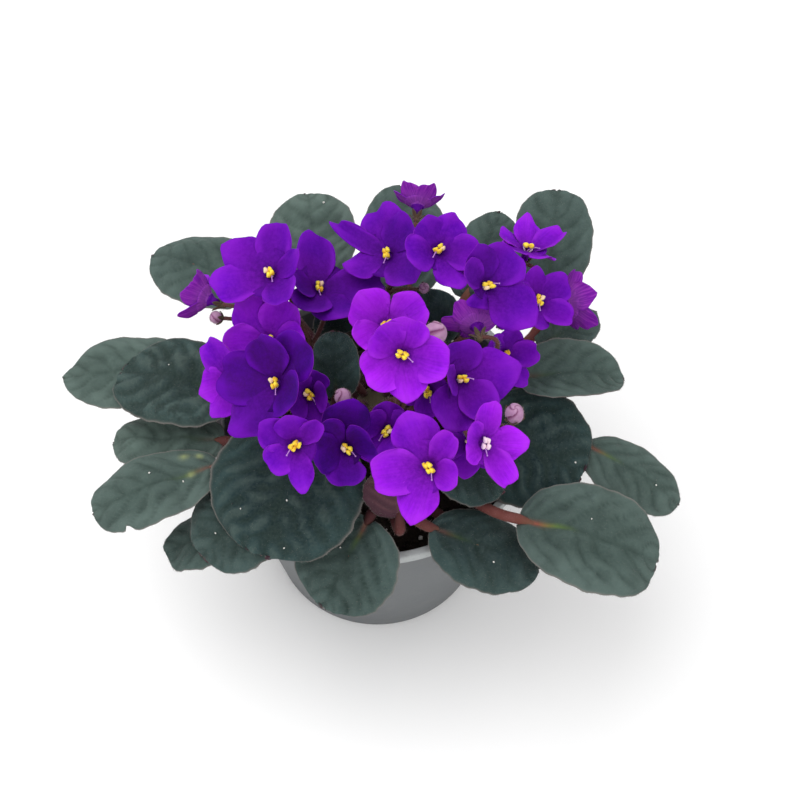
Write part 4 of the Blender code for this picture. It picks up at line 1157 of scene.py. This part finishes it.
def wall_radius(height):
    share = height / LIP_FOOT
    return POT_BASE_RADIUS + share * (POT_RIM_RADIUS - LIP_DEPTH - POT_BASE_RADIUS)


def round_corner(centre, radius, start, end, steps=5):
    """Points of an arc, by angles in degrees from the outward direction."""
    turns = np.radians(np.linspace(start, end, steps))
    return [(centre[0] + radius * math.cos(turn), centre[1] + radius * math.sin(turn))
            for turn in turns]


def make_pot(finish):
    """The tapered pot with its rolled lip, a faint step under it and drain holes."""
    bore = POT_RIM_RADIUS - LIP_DEPTH - POT_WALL
    foot = POT_BASE_RADIUS - POT_BASE_EDGE
    wall = [(wall_radius(height), height)
            for height in np.linspace(POT_BASE_EDGE + 0.6, LIP_FOOT, 14)]
    profile = [(0.0, 0.0), (20.0, 0.0), (foot - 3.0, 0.0)]
    profile += round_corner((foot, POT_BASE_EDGE), POT_BASE_EDGE, -90, -8)
    profile += wall
    profile += round_corner((POT_RIM_RADIUS - 0.8, LIP_FOOT + 0.9), 0.8, -80, 0)
    profile += round_corner((POT_RIM_RADIUS - 0.8, POT_HEIGHT - 0.8), 0.8, 0, 90)
    profile += round_corner((bore + 0.7, POT_HEIGHT - 0.7), 0.7, 90, 180)
    profile += [(bore, LIP_FOOT), (wall_radius(60.0) - POT_WALL, 60.0)]
    profile += [(POT_BASE_RADIUS - POT_WALL + 0.3, POT_WALL + 1.0),
                (POT_BASE_RADIUS - POT_WALL - 0.8, POT_WALL), (0.0, POT_WALL)]
    cluster = Cluster()
    cluster.add(lathe(profile, 128))
    made = cluster.piece("pot_shell", finish, "pot_plastic", "pot")
    for hole in range(DRAIN_HOLES):
        angle = math.tau * (hole + 0.5) / DRAIN_HOLES
        bpy.ops.mesh.primitive_cylinder_add(
            vertices=32, radius=DRAIN_RADIUS * MM, depth=6 * MM,
            location=(DRAIN_CIRCLE * MM * math.cos(angle), DRAIN_CIRCLE * MM * math.sin(angle), 0))
        cutter = bpy.context.active_object
        cut = made.modifiers.new("drain hole", "BOOLEAN")
        cut.operation = "DIFFERENCE"
        cut.object = cutter
        bpy.context.view_layer.objects.active = made
        bpy.ops.object.modifier_apply(modifier=cut.name)
        bpy.data.objects.remove(cutter)
    made.data.shade_smooth()
    made.data.set_sharp_from_angle(angle=math.radians(50))


def soil_height(flat):
    """The crumbly top of the soil over points at height 0."""
    return (SOIL_HEIGHT + 0.9 * ripple(flat, 26.0, 1) + 0.6 * ripple(flat, 9.0, 2)
            + 0.4 * ripple(flat, 3.6, 3))


def lump(centre, size, draw):
    """A small irregular crumb."""
    bumps = draw.uniform(0.75, 1.2, (7, 1))
    axes = np.diag(size * draw.uniform(0.7, 1.2, 3))
    turn = np.linalg.qr(draw.normal(size=(3, 3)))[0]
    if np.linalg.det(turn) < 0:
        turn = -turn
    return ball(centre, axes @ turn, 5, 7, lambda down, round_: 0.85 + 0.25 * np.sin(
        3 * round_ * bumps[0] + 5 * down + bumps[1] * 9) * np.sin(down))


def make_soil(finish):
    """The soil with its crumbs. Gives the cluster of perlite, which isn't a piece yet."""
    well = CROWN_RADIUS + GAP
    outer = wall_radius(SOIL_HEIGHT) - POT_WALL - 3 * GAP
    turns = round_turns(SOIL_SIDES)
    top = circle(np.linspace(well, outer, SOIL_RINGS)[:, None], 0.0, turns)
    top[..., 2] = soil_height(top)
    pit, floor = CROWN_FOOT - GAP, POT_WALL + GAP
    rings = [circle(well, pit, turns), *top,
             circle(POT_BASE_RADIUS - POT_WALL - 2 * GAP, floor, turns)]
    cluster, white = Cluster(), Cluster()
    cluster.add(capped(rings, (0, 0, pit), (0, 0, floor), downward=True))
    draw = np.random.default_rng(SOIL_SEED)
    for kind, count, low_size, high_size in ((cluster, SOIL_CRUMBS, 0.6, 1.9),
                                             (white, PERLITE_CRUMBS, 0.4, 1.1)):
        for _ in range(count):
            away = math.sqrt(draw.uniform((well + 2) ** 2, (outer - 2) ** 2))
            spot = circle(away, 0.0, draw.uniform(0, math.tau))
            size = draw.uniform(low_size, high_size)
            kind.add(lump(spot + (soil_height(spot) + size * 0.2) * UP, size, draw))
    cluster.piece("soil_crumbs", finish, "potting_soil", "potting_soil")
    return white


def make_crown(finish):
    """The rough stem, with rings of old leaf scars."""
    height, round_ = np.meshgrid(np.linspace(CROWN_FOOT, CROWN_TOP, 40), round_turns(48),
                                 indexing="ij")
    share = (height - CROWN_FOOT) / (CROWN_TOP - CROWN_FOOT)
    ring = CROWN_RADIUS * (1 - 0.25 * smooth(0.9, 1.0, share))
    skin = circle(ring, height, round_)
    bumps = 0.25 * ripple(skin, 5.0, 31) + 0.2 * np.sin(height * 1.6 + 2 * round_)
    skin[..., :2] *= (0.97 + 0.02 * bumps)[..., None]
    cluster = Cluster()
    cluster.add(capped(skin, (0, 0, CROWN_FOOT), (0, 0, CROWN_TOP + 0.5)))
    cluster.piece("crown_stem", finish, "crown", "crown")


def add_leaf_crumbs(white):
    draw = np.random.default_rng(LEAF_CRUMB_SEED)
    for number, turn, across in LEAF_CRUMBS:
        sheet = leaf_relief(Blade(number), np.array([turn]), np.array([across]))
        middle, normal, height = sheet[:3]
        white.add(lump(middle[0] + normal[0] * (height[0] + 0.2), draw.uniform(0.3, 0.5), draw))


# Setting

CAMERA_PLACE = (0.008302, -0.290674, 0.576706)
CAMERA_TILT = 32.0
CAMERA_LENS = 67.28
FLOOR_SIZE = 12
FLOOR_TONE = 0.96
WORLD_STRENGTH = 0.82
LIGHT_AIM = (0, 0, 0.1)

# Name, place and diameter in metres, power in watts
LIGHTS = (
    ("key", (-0.40, 0.10, 1.25), 1.3, 9.6),
    ("fill", (0.5, -0.9, 0.9), 0.9, 3.2),
)


def add_light(name, place, size, power):
    data = bpy.data.lights.new(name, "AREA")
    data.shape = "DISK"
    data.size = size
    data.energy = power
    light = link(bpy.data.objects.new(name, data))
    light.location = place
    aim = link(bpy.data.objects.new(f"{name}_aim", None))
    aim.location = LIGHT_AIM
    light.constraints.new("TRACK_TO").target = aim


def make_setting():
    camera = link(bpy.data.objects.new("camera", bpy.data.cameras.new("camera")))
    camera.location = CAMERA_PLACE
    camera.rotation_euler = (math.radians(CAMERA_TILT), 0, 0)
    camera.data.lens = CAMERA_LENS
    bpy.context.scene.camera = camera
    bpy.ops.mesh.primitive_plane_add(size=FLOOR_SIZE)
    floor = bpy.context.active_object
    floor.name = "floor"
    pale = Finish("floor", 0.9, Specular_IOR_Level=0.1).done((FLOOR_TONE,) * 3)
    floor.data.materials.append(pale)
    world = bpy.data.worlds.new("soft studio")
    world.use_nodes = True
    sky = world.node_tree.nodes["Background"].inputs
    sky["Color"].default_value = (1, 1, 1, 1)
    sky["Strength"].default_value = WORLD_STRENGTH
    bpy.context.scene.world = world
    for light in LIGHTS:
        add_light(*light)
    bpy.context.scene.view_settings.view_transform = "Standard"


def main():
    make_setting()
    green = leaf_finish()
    leaf_hair = hair_finish("leaf hair", (0.17, 0.17, 0.155), (0.30, 0.27, 0.26))
    stem_hair = hair_finish("stem hair", (0.26, 0.15, 0.14), (0.45, 0.36, 0.34))
    for number in LEAVES:
        make_leaf(number, green, leaf_hair, stem_hair)
    violet = petal_finish()
    anthers, styles = Cluster(), Cluster()
    for number, row in BLOOMS.items():
        make_bloom(number, row, violet, anthers, styles)
    anthers.piece("anthers", anther_finish(), "petal")
    styles.piece("styles", hair_finish("style", (0.38, 0.12, 0.50), (0.56, 0.30, 0.66)), "petal")
    red = stalk_finish()
    for count, cyme in enumerate(CYMES, 1):
        make_stalk(count, cyme, red, stem_hair)
    make_pot(pot_finish())
    white = make_soil(soil_finish())
    add_leaf_crumbs(white)
    white.piece("perlite", perlite_finish(), "potting_soil")
    make_crown(crown_finish())


main()
